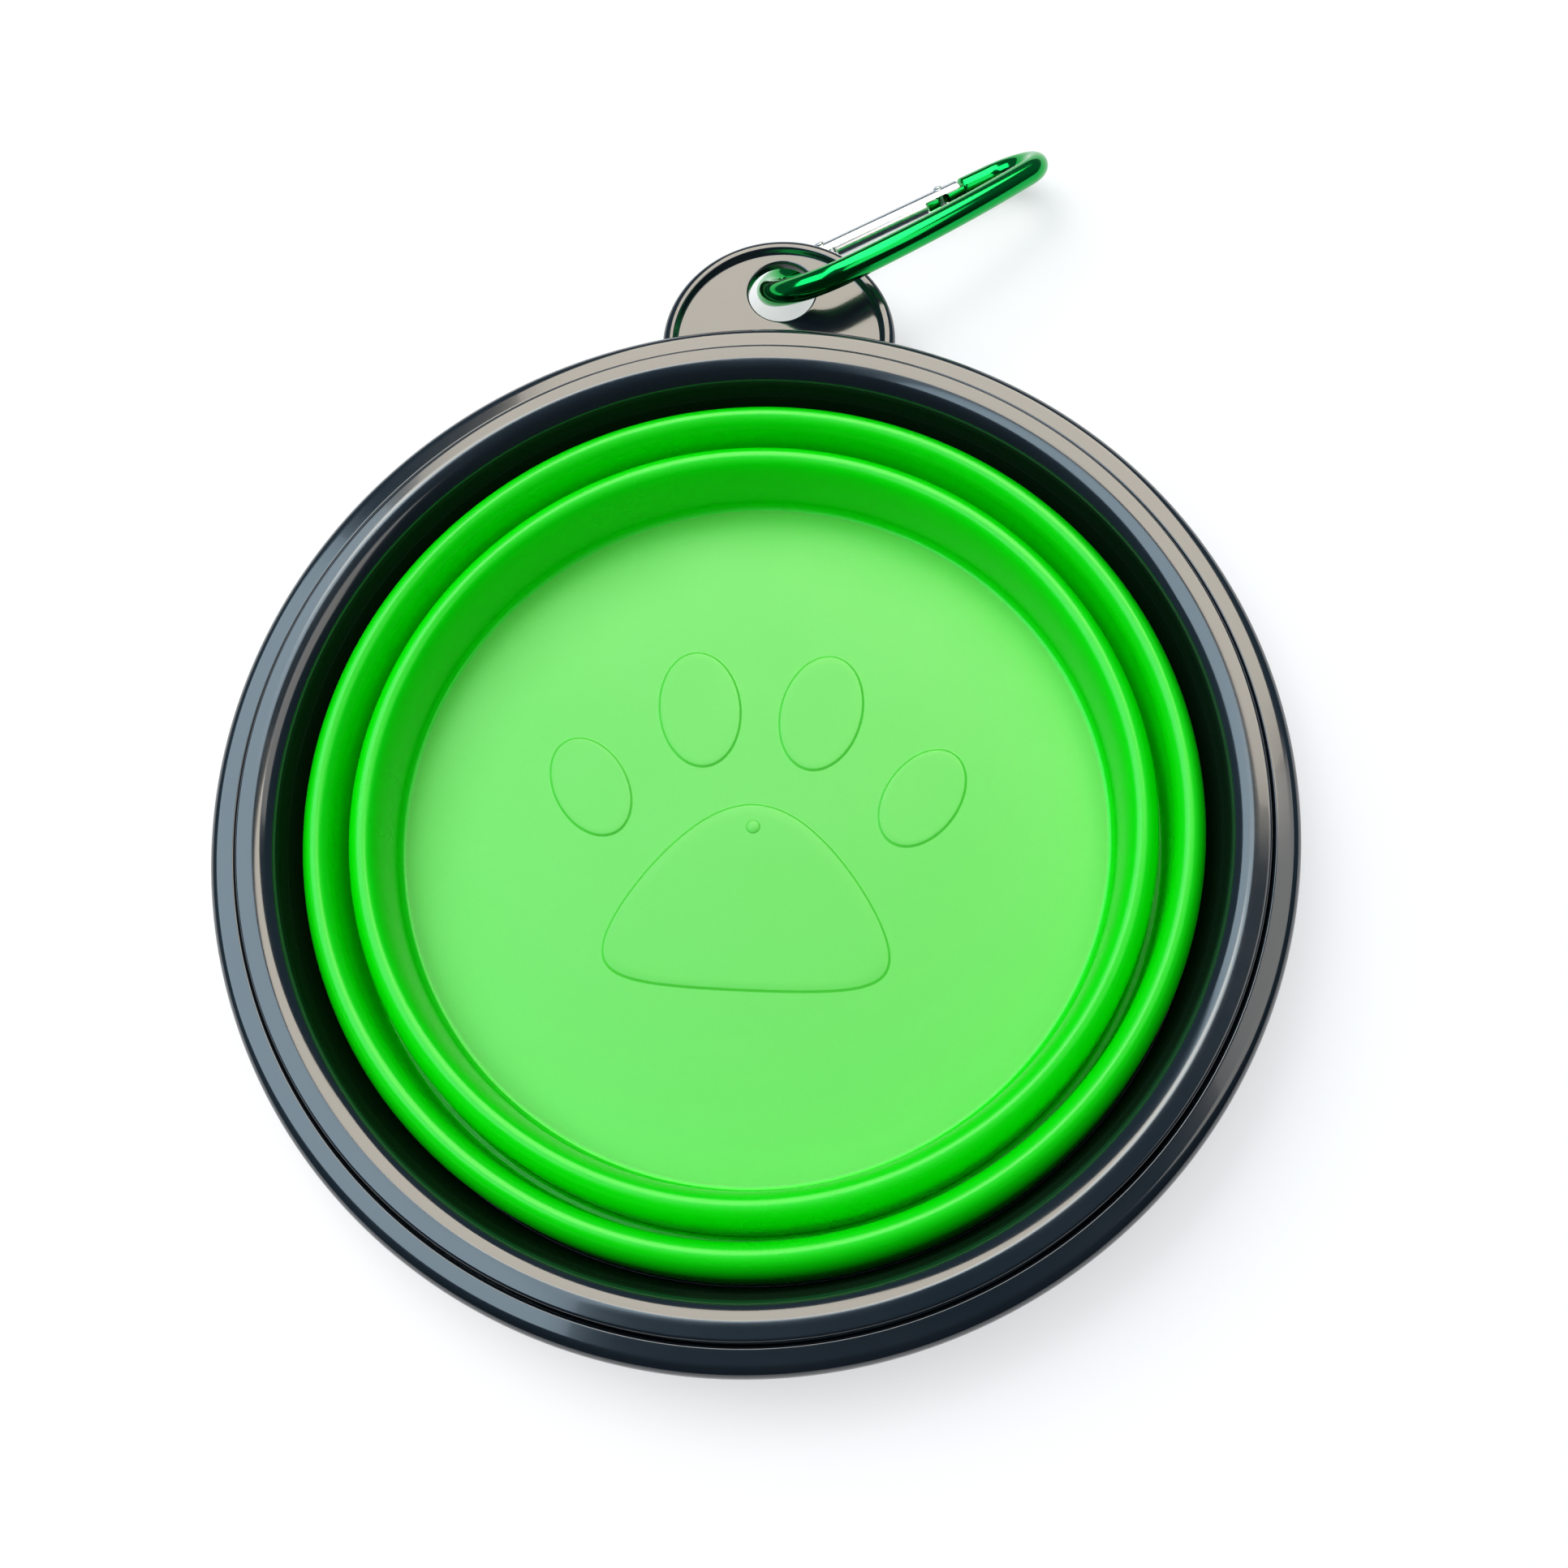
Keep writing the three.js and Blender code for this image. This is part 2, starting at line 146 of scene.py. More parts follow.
def rounded(corners: Sequence[tuple[float, float, float]], steps: int = 8) -> np.ndarray:
    """Closed outline with each corner turned into a circular arc.

    Each arc is the curve ((1-t)^2 A + 2w t(1-t) P + t^2 B) / ((1-t)^2 + 2w t(1-t) + t^2), where A and B
    are the tangent points, P is the corner and w is the sine of half the corner's angle. One more point
    stands a little outside each end of an arc, so that the flats beside it stay flat when shaded smooth.

    Args:
        corners: Rows of x, y and corner radius.
        steps: Chords in each arc.

    Returns:
        Points of the outline.
    """
    table = np.array(corners, float)
    point, radius = table[:, :2], table[:, 2]
    before = np.roll(point, 1, axis=0) - point
    after = np.roll(point, -1, axis=0) - point
    before_length = np.linalg.norm(before, axis=1)
    after_length = np.linalg.norm(after, axis=1)
    before /= before_length[:, None]
    after /= after_length[:, None]
    shorter = np.minimum(before_length, after_length)
    half = np.arccos(np.clip((before * after).sum(1), -1, 1)) / 2
    reach = np.minimum(radius / np.tan(half), CORNER_OF_SIDE * shorter)
    guard = np.minimum(GUARD_OF_CORNER * reach, GUARD_OF_SIDE * shorter)
    first = point + before * reach[:, None]
    last = point + after * reach[:, None]
    t = np.linspace(0, 1, steps + 1)[None, :, None]
    start, middle, end = (1 - t) ** 2, 2 * np.sin(half)[:, None, None] * t * (1 - t), t**2
    over = start * first[:, None] + middle * point[:, None] + end * last[:, None]
    arcs = over / (start + middle + end)
    lead = (first + before * guard[:, None])[:, None]
    trail = (last + after * guard[:, None])[:, None]
    return np.concatenate([lead, arcs, trail], axis=1).reshape(-1, 2)


# Meshes

# Points nearer than this, in metres, are one point, and shorter edges than the next are dropped
SAME_POINT = 1e-7
NO_EDGE = 1e-8
# Steps round a turned piece of the bowl
TURN_STEPS = 288


def grid_quads(rows: int, columns: int, wrap_rows: bool, wrap_columns: bool) -> np.ndarray:
    """Quads between neighbours of a grid of points in row order.

    Args:
        rows: Number of rows.
        columns: Number of columns.
        wrap_rows: Whether the last row joins the first.
        wrap_columns: Whether the last column joins the first.

    Returns:
        Vertex numbers, four to a quad.
    """
    i = np.arange(rows if wrap_rows else rows - 1)
    j = np.arange(columns if wrap_columns else columns - 1)
    i, j = np.meshgrid(i, j, indexing="ij")
    next_i, next_j = (i + 1) % rows, (j + 1) % columns
    quads = [i * columns + j, next_i * columns + j, next_i * columns + next_j, i * columns + next_j]
    return np.stack(quads, axis=-1).reshape(-1, 4)


def finish_mesh(mesh: bpy.types.Mesh, crease: float = 40.0) -> None:
    """Merges poles and seams, turns the faces outwards and shades them smooth up to the crease angle.

    Args:
        mesh: Mesh to finish in place.
        crease: Angle in degrees past which an edge stays sharp.
    """
    work = bmesh.new()
    work.from_mesh(mesh)
    bmesh.ops.remove_doubles(work, verts=work.verts, dist=SAME_POINT)
    bmesh.ops.dissolve_degenerate(work, edges=work.edges, dist=NO_EDGE)
    bmesh.ops.recalc_face_normals(work, faces=work.faces)
    work.to_mesh(mesh)
    work.free()
    mesh.shade_smooth()
    mesh.set_sharp_from_angle(angle=math.radians(crease))
    mesh.update()


def linked(name: str, data: bpy.types.ID) -> bpy.types.Object:
    """Makes an object and puts it into the scene.

    Args:
        name: Name of the object.
        data: Its mesh, camera or light.

    Returns:
        The object.
    """
    made = bpy.data.objects.new(name, data)
    bpy.context.scene.collection.objects.link(made)
    return made


def grid_object(
    name: str, points: np.ndarray, wrap_rows: bool, wrap_columns: bool, caps: bool = False
) -> bpy.types.Object:
    """An object whose surface is a grid of points.

    Args:
        name: Name of the piece.
        points: Points in mm, rows by columns by three.
        wrap_rows: Whether the last row joins the first.
        wrap_columns: Whether the last column joins the first.
        caps: Whether the first and last rows are closed by a flat face each.

    Returns:
        The linked object, at the origin.
    """
    rows, columns = points.shape[:2]
    faces = grid_quads(rows, columns, wrap_rows, wrap_columns).tolist()
    if caps:
        faces.append(list(range(columns)))
        faces.append(list(range((rows - 1) * columns, rows * columns)))
    mesh = bpy.data.meshes.new(name)
    mesh.from_pydata((points * MM).reshape(-1, 3).tolist(), [], faces)
    finish_mesh(mesh)
    return linked(name, mesh)


def lathe(name: str, profile: np.ndarray, segments: int = TURN_STEPS) -> bpy.types.Object:
    """Turns a profile about the Z axis: (r cos a, r sin a, z) for each profile point (r, z).

    Args:
        name: Name of the piece.
        profile: Points of radius and height in mm; it closes on itself unless it starts on the axis.
        segments: Steps round the axis.

    Returns:
        The turned piece.
    """
    angle = np.linspace(0, 2 * np.pi, segments, endpoint=False)[:, None]
    radius, height = profile[None, :, 0], profile[None, :, 1]
    flat = np.broadcast_to(height, (segments, len(profile)))
    points = np.stack([radius * np.cos(angle), radius * np.sin(angle), flat], axis=-1)
    return grid_object(name, points, True, bool(profile[0, 0] > 0))


def tube(
    name: str, line: np.ndarray, side: np.ndarray, across: np.ndarray, radius: np.ndarray, sides: int
) -> bpy.types.Object:
    """Carries a circle along a line: line + radius (cos a side + sin a across).

    Args:
        name: Name of the piece.
        line: Middle line in mm, one row for each step.
        side: Unit vectors across the line.
        across: Unit vectors across the line, square to side.
        radius: Radius at each step in mm.
        sides: Points round the circle.

    Returns:
        The closed tube.
    """
    angle = np.linspace(0, 2 * np.pi, sides, endpoint=False)[None, :, None]
    ring = np.cos(angle) * side[:, None] + np.sin(angle) * across[:, None]
    points = line[:, None] + radius[:, None, None] * ring
    return grid_object(name, points, False, True, caps=True)


# Shading

# Sockets of a Mix node that mixes colours, which share their names with the node's hidden ones
MIX_FACTOR = 0
MIX_FIRST = 6
MIX_SECOND = 7
MIX_RESULT = 2


class Graph:
    """A node tree with short calls for adding and linking nodes."""

    def __init__(self, tree: bpy.types.NodeTree) -> None:
        """Starts on an empty tree."""
        self.tree = tree
        tree.nodes.clear()

    def add(self, kind: str, values: dict | None = None, **settings: object) -> bpy.types.Node:
        """Adds a node.

        Args:
            kind: Node type.
            values: Input values by socket name or number.
            settings: Properties of the node.

        Returns:
            The new node.
        """
        node = self.tree.nodes.new(kind)
        for key, value in settings.items():
            setattr(node, key, value)
        for key, value in (values or {}).items():
            node.inputs[key].default_value = value
        return node

    def link(self, source: bpy.types.NodeSocket, target: bpy.types.NodeSocket) -> None:
        """Joins two sockets."""
        self.tree.links.new(source, target)

    def join(self, source: bpy.types.Node, output: str, target: bpy.types.Node, entry: str | int) -> None:
        """Joins an output of one node to an input of another."""
        self.link(source.outputs[output], target.inputs[entry])


class FieldGroup(Graph):
    """A shader group of fields on Object coordinates, with float sockets of the given names."""

    def __init__(self, name: str, inputs: Sequence[str], outputs: Sequence[str]) -> None:
        """Makes the group with its sockets and its three end nodes.

        Args:
            name: Name of the group.
            inputs: Names of its inputs.
            outputs: Names of its outputs.
        """
        super().__init__(bpy.data.node_groups.new(name, "ShaderNodeTree"))
        for labels, way in ((inputs, "INPUT"), (outputs, "OUTPUT")):
            for label in labels:
                self.tree.interface.new_socket(label, in_out=way, socket_type="NodeSocketFloat")
        self.given = self.add("NodeGroupInput")
        self.place = self.add("ShaderNodeTexCoord").outputs["Object"]
        self.out = self.add("NodeGroupOutput")

    def noise(
        self, place: bpy.types.NodeSocket, scale: str, detail: float, roughness: float
    ) -> bpy.types.Node:
        """Adds a noise whose scale is one of the group's inputs.

        Args:
            place: Socket of the coordinates.
            scale: Name of the input.
            detail: Octaves of the noise.
            roughness: Weight of each octave against the one before.

        Returns:
            The noise node.
        """
        node = self.add("ShaderNodeTexNoise", {"Detail": detail, "Roughness": roughness})
        self.link(place, node.inputs["Vector"])
        self.join(self.given, scale, node, "Scale")
        return node


def moulded_grain() -> bpy.types.NodeTree:
    """Group for the skin of a moulding.

    Returns:
        The group, whose Height is a fine grain and whose Tone is a slow drift in colour.
    """
    group = FieldGroup("moulded_grain", ["Grain Scale", "Tone Scale"], ["Height", "Tone"])
    grain = group.noise(group.place, "Grain Scale", 3.0, 0.6)
    drift = group.noise(group.place, "Tone Scale", 4.0, 0.55)
    group.join(grain, "Fac", group.out, "Height")
    group.join(drift, "Fac", group.out, "Tone")
    return group.tree


def handling_marks() -> bpy.types.NodeTree:
    """Group for a polished surface that is handled.

    Returns:
        The group, whose Smudge is a soft mask and whose Scratch is a field of fine hairlines.
    """
    group = FieldGroup("handling_marks", ["Smudge Scale", "Scratch Scale"], ["Smudge", "Scratch"])
    stretch = group.add("ShaderNodeMapping", {"Scale": (1.0, 0.06, 1.0), "Rotation": (0.0, 0.0, 0.5)})
    smudge = group.noise(group.place, "Smudge Scale", 5.0, 0.6)
    scratch = group.noise(stretch.outputs["Vector"], "Scratch Scale", 2.0, 0.5)
    thin = group.add("ShaderNodeMapRange", {"From Min": 0.62, "From Max": 0.72})
    group.link(group.place, stretch.inputs["Vector"])
    group.join(smudge, "Fac", group.out, "Smudge")
    group.join(scratch, "Fac", thin, "Value")
    group.join(thin, "Result", group.out, "Scratch")
    return group.tree


GRAIN = moulded_grain()
MARKS = handling_marks()


def mixed_colour(
    graph: Graph, factor: bpy.types.NodeSocket, first: Colour, second: Colour
) -> bpy.types.NodeSocket:
    """Mixes two colours.

    Args:
        graph: Tree to work in.
        factor: Socket of the share of the second colour.
        first: Colour at factor 0.
        second: Colour at factor 1.

    Returns:
        Socket of the mixed colour.
    """
    mix = graph.add("ShaderNodeMix", data_type="RGBA")
    mix.inputs[MIX_FIRST].default_value = (*first, 1.0)
    mix.inputs[MIX_SECOND].default_value = (*second, 1.0)
    graph.link(factor, mix.inputs[MIX_FACTOR])
    return mix.outputs[MIX_RESULT]


def spread(
    graph: Graph, value: bpy.types.NodeSocket, low_end: float, high_end: float
) -> bpy.types.NodeSocket:
    """Spreads the middle of a noise over a range.

    Args:
        graph: Tree to work in.
        value: Socket of the noise.
        low_end: Value at the low end.
        high_end: Value at the high end.

    Returns:
        Socket of the spread value.
    """
    sizes = {"From Min": 0.3, "From Max": 0.7, "To Min": low_end, "To Max": high_end}
    node = graph.add("ShaderNodeMapRange", sizes)
    graph.link(value, node.inputs["Value"])
    return node.outputs["Result"]


def bumped(
    graph: Graph, height: bpy.types.NodeSocket, strength: float, depth: float
) -> bpy.types.NodeSocket:
    """Bumps a surface.

    Args:
        graph: Tree to work in.
        height: Socket of the relief.
        strength: Share of the bump that shows.
        depth: Depth of the relief in metres.

    Returns:
        Socket of the bumped normal.
    """
    node = graph.add("ShaderNodeBump", {"Strength": strength, "Distance": depth})
    graph.link(height, node.inputs["Height"])
    return node.outputs["Normal"]


@dataclass(frozen=True)
class Finish:
    """What every finish has: two close tones, and two ends of roughness."""

    name: str
    tone: Colour
    other_tone: Colour
    roughness: Pair

    def driven(
        self, group: bpy.types.NodeTree, values: dict, fixed: dict, drift: str, relief: str, bump: Pair
    ) -> bpy.types.Material:
        """Builds a material in which a shared group drives a Principled shader.

        Args:
            group: The shared group.
            values: Its input values.
            fixed: Plain values of the shader.
            drift: Output of the group that mixes the tones and spreads the roughness.
            relief: Output of the group that bumps the surface.
            bump: Strength of that bump, and its depth in metres.

        Returns:
            The material.
        """
        made = bpy.data.materials.new(self.name)
        made.use_nodes = True
        graph = Graph(made.node_tree)
        field = graph.add("ShaderNodeGroup", values, node_tree=group)
        shader = graph.add("ShaderNodeBsdfPrincipled", fixed)
        out = graph.add("ShaderNodeOutputMaterial")
        colour = mixed_colour(graph, field.outputs[drift], self.tone, self.other_tone)
        graph.link(colour, shader.inputs["Base Color"])
        graph.link(spread(graph, field.outputs[drift], *self.roughness), shader.inputs["Roughness"])
        graph.link(bumped(graph, field.outputs[relief], *bump), shader.inputs["Normal"])
        graph.join(shader, "BSDF", out, "Surface")
        return made


@dataclass(frozen=True)
class MouldedFinish(Finish):
    """A moulded surface with a fine grain, and a gloss given by its values."""

    grain_scale: float
    grain_depth: float
    ior: float = 1.5
    specular: float = 0.5
    coat: float = 0.0
    coat_roughness: float = 0.03
    tone_scale: float = 60.0

    def material(self) -> bpy.types.Material:
        """Builds the material of this finish.

        Returns:
            The material.
        """
        values = {"Grain Scale": self.grain_scale, "Tone Scale": self.tone_scale}
        fixed = {
            "IOR": self.ior,
            "Specular IOR Level": self.specular,
            "Coat Weight": self.coat,
            "Coat Roughness": self.coat_roughness,
        }
        return self.driven(GRAIN, values, fixed, "Tone", "Height", (1.0, self.grain_depth))


@dataclass(frozen=True)
class MetalFinish(Finish):
    """A polished metal with smudges in its gloss and fine hairlines."""

    smudge_scale: float = 220.0
    scratch_scale: float = 5000.0
    scratch_strength: float = 0.4
    scratch_depth: float = 1.5e-6

    def material(self) -> bpy.types.Material:
        """Builds the material of this finish.

        Returns:
            The material.
        """
        values = {"Smudge Scale": self.smudge_scale, "Scratch Scale": self.scratch_scale}
        bump = (self.scratch_strength, self.scratch_depth)
        return self.driven(MARKS, values, {"Metallic": 1.0}, "Smudge", "Scratch", bump)


class Finishes:
    """Every finish of the bowl, made once."""

    def __init__(self) -> None:
        """Builds the materials."""
        self.rim_plastic = MouldedFinish(
            "polished_dark_plastic",
            (0.006, 0.010, 0.015),
            (0.011, 0.016, 0.022),
            (0.10, 0.16),
            grain_scale=2600.0,
            grain_depth=3e-7,
            ior=1.6,
            specular=0.55,
            coat=0.3,
        ).material()
        self.wall_plastic = MouldedFinish(
            "satin_dark_plastic",
            (0.003, 0.006, 0.006),
            (0.005, 0.009, 0.009),
            (0.34, 0.44),
            grain_scale=2600.0,
            grain_depth=6e-7,
            ior=1.45,
            specular=0.3,
        ).material()
        self.soft_wall = MouldedFinish(
            "satin_green_silicone",
            (0.001, 0.79, 0.001),
            (0.002, 0.84, 0.002),
            (0.22, 0.28),
            grain_scale=5200.0,
            grain_depth=7e-7,
            specular=0.32,
        ).material()
        # Matt floor of the same silicone as the wall: its roughness is real, but its paler tone, with red
        # and blue that the wall lacks, is painted sheen standing in for the matt surface's haze.
        self.soft_floor_painted_sheen = MouldedFinish(
            "matt_green_silicone_painted_sheen",
            (0.082, 0.69, 0.044),
            (0.097, 0.72, 0.055),
            (0.42, 0.50),
            grain_scale=5200.0,
            grain_depth=9e-6,
        ).material()
        self.green_metal = MetalFinish(
            "green_anodised_rod", (0.003, 0.34, 0.052), (0.005, 0.40, 0.064), (0.10, 0.16)
        ).material()
        self.bare_metal = MetalFinish(
            "bare_aluminium_bar", (0.74, 0.745, 0.75), (0.80, 0.80, 0.805), (0.16, 0.24)
        ).material()
        self.steel = MetalFinish(
            "plain_steel", (0.56, 0.56, 0.57), (0.63, 0.63, 0.64), (0.22, 0.32)
        ).material()


def face_heights(made: bpy.types.Object) -> np.ndarray:
    """Heights of a piece's faces.

    Args:
        made: The piece.

    Returns:
        Height of the middle of each face, in mm.
    """
    middles = np.zeros(len(made.data.polygons) * 3)
    made.data.polygons.foreach_get("center", middles)
    return middles[2::3] / MM


def paint(
    made: bpy.types.Object, main: bpy.types.Material, other: bpy.types.Material, chosen: np.ndarray
) -> None:
    """Gives a piece two finishes.

    Args:
        made: The piece.
        main: Finish of most faces.
        other: Finish of the chosen faces.
        chosen: Whether each face is a chosen one.
    """
    made.data.materials.append(main)
    made.data.materials.append(other)
    made.data.polygons.foreach_set("material_index", chosen.astype(np.int32))


def dress(
    made: bpy.types.Object, finish: bpy.types.Material, slot: Slot, *nodes: str
) -> bpy.types.Object:
    """Gives a piece its finish, unless it is painted already, and hides the CAD nodes that it stands for.

    Args:
        made: The piece.
        finish: Its finish.
        slot: Its slot in the record; not used.
        nodes: CAD nodes that it stands for.

    Returns:
        The piece.
    """
    if not made.data.materials:
        made.data.materials.append(finish)
    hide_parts(*nodes)
    LOG.info("%s: %d faces, stands for %s", made.name, len(made.data.polygons), ", ".join(nodes))
    return made


def seat(
    made: bpy.types.Object, body: Body, finish: bpy.types.Material, slot: Slot, *nodes: str
) -> bpy.types.Object:
    """Dresses a piece and lets it ride on a body."""
    dress(made, finish, slot, *nodes)
    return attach(made, body.value)


# Toes


@dataclass(frozen=True)
class Toe:
    """Sizes of the toes at the foot of the hard wall and of the middle ring, in mm."""

    wall: float = 1.7
    gap: float = 0.3
    height: float = 1.0
    fillet: float = 0.4
    tip_edge: float = 0.45
    heel_edge: float = 0.8
    heel_rise: float = 0.4

    def corners(self, tip: float, foot: float, inside: float) -> list[tuple[float, float, float]]:
        """Corners of a toe, from its inner fillet round its tip to the top of its heel.

        Args:
            tip: Radius of the tip.
            foot: Height of the underside.
            inside: Radius of the wall's inner face over the toe.

        Returns:
            Rows of radius, height and corner radius.
        """
        valley, top = tip + self.gap, foot + self.height
        return [
            (inside, top, self.fillet),
            (tip, top, self.tip_edge),
            (tip, foot, self.tip_edge),
            (valley + self.wall / 2, foot, self.heel_edge),
            (valley + self.wall, top + self.heel_rise, self.heel_edge),
        ]


# Rim

# Smallest cosine that the way to a side of the ear is divided by
LEAST_COSINE = 1e-6


@dataclass
class Rim:
    """Outer band, clamp ring with its bead, hard upper wall and the hanging ear. Sizes in mm."""

    finishes: Finishes
    toe: Toe = Toe()
    groove: float = 0.4
    shelf: float = 1.4
    shelf_edge: float = 0.2
    hidden_edge: float = 0.3
    flange: float = 1.5
    flange_edge: float = 0.2
    flange_fillet: float = 0.4
    mouth_edge: float = 0.15
    band_fall: float = 0.25
    band_edge: float = 1.6
    skirt_edge: float = 0.8
    bead_width: float = 5.0
    bead_edge: float = 0.4
    bead_guard: float = 0.12
    bead_run: float = 3.1
    bead_drop: float = 2.8
    bead_lean: float = 0.4
    polished: float = 1.7
    seam: float = 0.06
    ear_radius: float = 15.5
    ear_reach: float = 15.6
    ear_root: float = 1.75
    ear_lift: float = 0.6
    ear_plate: float = 1.6
    ear_edge: float = 1.1
    ear_guard: float = 0.1
    border: float = 0.8
    border_top: float = 1.35
    border_foot: float = 2.1
    hole: float = 4.5
    edge: float = 0.35

    def __post_init__(self) -> None:
        """Reads the rim's radii and heights from the frame."""
        self.radius = outer_radius("rim_frame")
        self.foot = low("rim_frame")
        self.top = high("rim_frame")
        self.clamp = outer_radius("clamp_ring")
        self.band = self.clamp + self.groove
        self.lip = self.clamp - self.bead_width
        self.hole_y = joint("carabiner_swing")["pos_m"][1] / MM
        self.ear_y = self.radius + self.ear_reach - self.ear_radius

    def band_profile(self) -> np.ndarray:
        """Section of the band: a nearly flat top, a rounded outer edge, a shelf inside its foot.

        Returns:
            Points of radius and height.
        """
        inside = self.lip + self.toe.wall + self.toe.gap
        shelf_top = self.foot + self.shelf
        return rounded(
            [
                (inside, self.foot, self.hidden_edge),
                (self.radius, self.foot, self.skirt_edge),
                (self.radius, self.top - self.band_fall, self.band_edge),
                (self.band, self.top, self.edge),
                (self.band, shelf_top, self.shelf_edge),
                (inside, shelf_top, self.hidden_edge),
            ]
        )

    def bead_profile(self) -> np.ndarray:
        """Section of the clamp ring: a flat top between a small outer and a wide inner quarter ellipse.

        Returns:
            Points of radius and height.
        """
        foot, top = high("upper_wall") + self.seam, high("clamp_ring")
        edge, guard = self.bead_edge, self.bead_guard
        turn = self.lip + self.bead_lean + self.bead_run
        outer = ellipse_arc((self.clamp - edge, top - edge), (edge, edge), 0, 90, 10)
        flat = np.array([[self.clamp - edge - guard, top], [turn + guard, top]])
        inner = ellipse_arc((turn, top - self.bead_drop), (self.bead_run, self.bead_drop), 90, 180, 44)
        return np.vstack([[[self.lip, foot], [self.clamp, foot]], outer, flat, inner])

    def wall_profile(self) -> np.ndarray:
        """Section of the upper wall: toe that the soft body is moulded on, leaning wall, flange.

        Returns:
            Points of radius and height.
        """
        tip = outer_radius("outer_fold_web")
        top = high("upper_wall")
        under = top - self.flange
        return rounded(
            [
                *self.toe.corners(tip, low("upper_wall"), tip + self.toe.gap),
                (self.lip + self.toe.wall, under, self.flange_fillet),
                (self.clamp, under, self.flange_edge),
                (self.clamp, top, self.flange_edge),
                (self.lip, top, self.mouth_edge),
            ]
        )

    def ear_section(self) -> tuple[np.ndarray, np.ndarray]:
        """Section of the ear, with a raised border along its outline.

        Returns:
            Rows of way outside the hole and height, and rows of inset from the outline and height.
        """
        base = self.foot + self.ear_lift
        face = base + self.ear_plate
        rise = face + self.border
        edge, brim, guard = self.edge, self.ear_edge, self.ear_guard
        foot, brow = self.border_foot, self.border_top
        share = np.linspace(0, 1, 11)
        slope = np.column_stack([foot - (foot - brow) * share, face + self.border * eased(share)])
        hole_side = [
            ellipse_arc((edge, base + edge), (edge, edge), 270, 180, 6),
            ellipse_arc((edge, face - edge), (edge, edge), 180, 90, 6),
            [[2 * edge, face]],
        ]
        rim_side = [
            [[foot + edge, face]],
            slope,
            [[brow - guard, rise], [brim + guard, rise]],
            ellipse_arc((brim, rise - brim), (brim, brim), 90, 180, 6),
            ellipse_arc((edge, base + edge), (edge, edge), 180, 270, 6),
            [[2 * edge, base]],
        ]
        return np.vstack(hole_side), np.vstack(rim_side)

    def outline_way(self, angle: np.ndarray, inset: np.ndarray) -> np.ndarray:
        """Way from the hole's middle to the ear's outline moved inwards.

        A ray ends on the ear's arc, on one of its straight sides, or on the root circle inside the band.

        Args:
            angle: Directions of the rays.
            inset: How far the outline is moved inwards.

        Returns:
            Ways in mm, rays by insets.
        """
        cosine, sine = np.cos(angle)[:, None], np.sin(angle)[:, None]
        radius = self.ear_radius - inset[None, :]
        offset = self.hole_y - self.ear_y
        ahead = offset * sine
        arc = -ahead + np.sqrt(ahead**2 - offset**2 + radius**2)
        side = radius / np.maximum(np.abs(cosine), LEAST_COSINE)
        outline = np.where(self.hole_y + arc * sine < self.ear_y, side, arc)
        inward = self.hole_y * sine
        under = inward**2 - self.hole_y**2 + (self.radius - self.ear_root) ** 2
        back = -inward - np.sqrt(np.maximum(under, 0))
        return np.minimum(outline, np.where((under > 0) & (sine < 0), back, np.inf))

    def ear_points(self, rays: int = 360) -> np.ndarray:
        """Surface of the ear: rays from the hole's middle, each carrying the same section outwards.

        Args:
            rays: Steps round the hole.

        Returns:
            Points in mm, rays by section points.
        """
        hole_side, rim_side = self.ear_section()
        angle = np.linspace(0, 2 * np.pi, rays, endpoint=False) + np.pi / rays
        near = np.broadcast_to(self.hole + hole_side[:, 0], (rays, len(hole_side)))
        last = np.full((rays, 1), self.hole + 2 * self.edge)
        way = np.hstack([near, self.outline_way(angle, rim_side[:, 0]), last])
        heights = np.concatenate([hole_side[:, 1], rim_side[:, 1], rim_side[-1:, 1]])
        x = way * np.cos(angle)[:, None]
        y = self.hole_y + way * np.sin(angle)[:, None]
        return np.stack([x, y, np.broadcast_to(heights, way.shape)], axis=-1)

    def build(self) -> None:
        """Makes the dark mouldings; the bead is polished on top and satin below."""
        dark, satin, slot = self.finishes.rim_plastic, self.finishes.wall_plastic, Slot.RIM_PLASTIC
        seat(lathe("rim_band", self.band_profile()), Body.RIM, dark, slot, "rim_frame")
        bead = lathe("rim_bead", self.bead_profile())
        paint(bead, dark, satin, face_heights(bead) < high("clamp_ring") - self.polished)
        seat(bead, Body.RIM, dark, slot, "clamp_ring")
        seat(lathe("hard_upper_wall", self.wall_profile()), Body.RIM, satin, slot, "upper_wall")
        ear = grid_object("hanging_ear", self.ear_points(), True, True)
        seat(ear, Body.RIM, dark, slot, "rim_frame")


# Soft body


@dataclass(frozen=True)
class PawToe:
    """An oval toe of the paw print, on its left half. Place, half axes and lean, in mm and degrees."""

    name: str
    x: float
    y: float
    length: float
    width: float
    lean: float


PAW_TOES = (
    PawToe("inner", x=-7.8, y=15.5, length=8.0, width=5.4, lean=100.0),
    PawToe("outer", x=-21.0, y=4.6, length=7.2, width=4.8, lean=122.0),
)


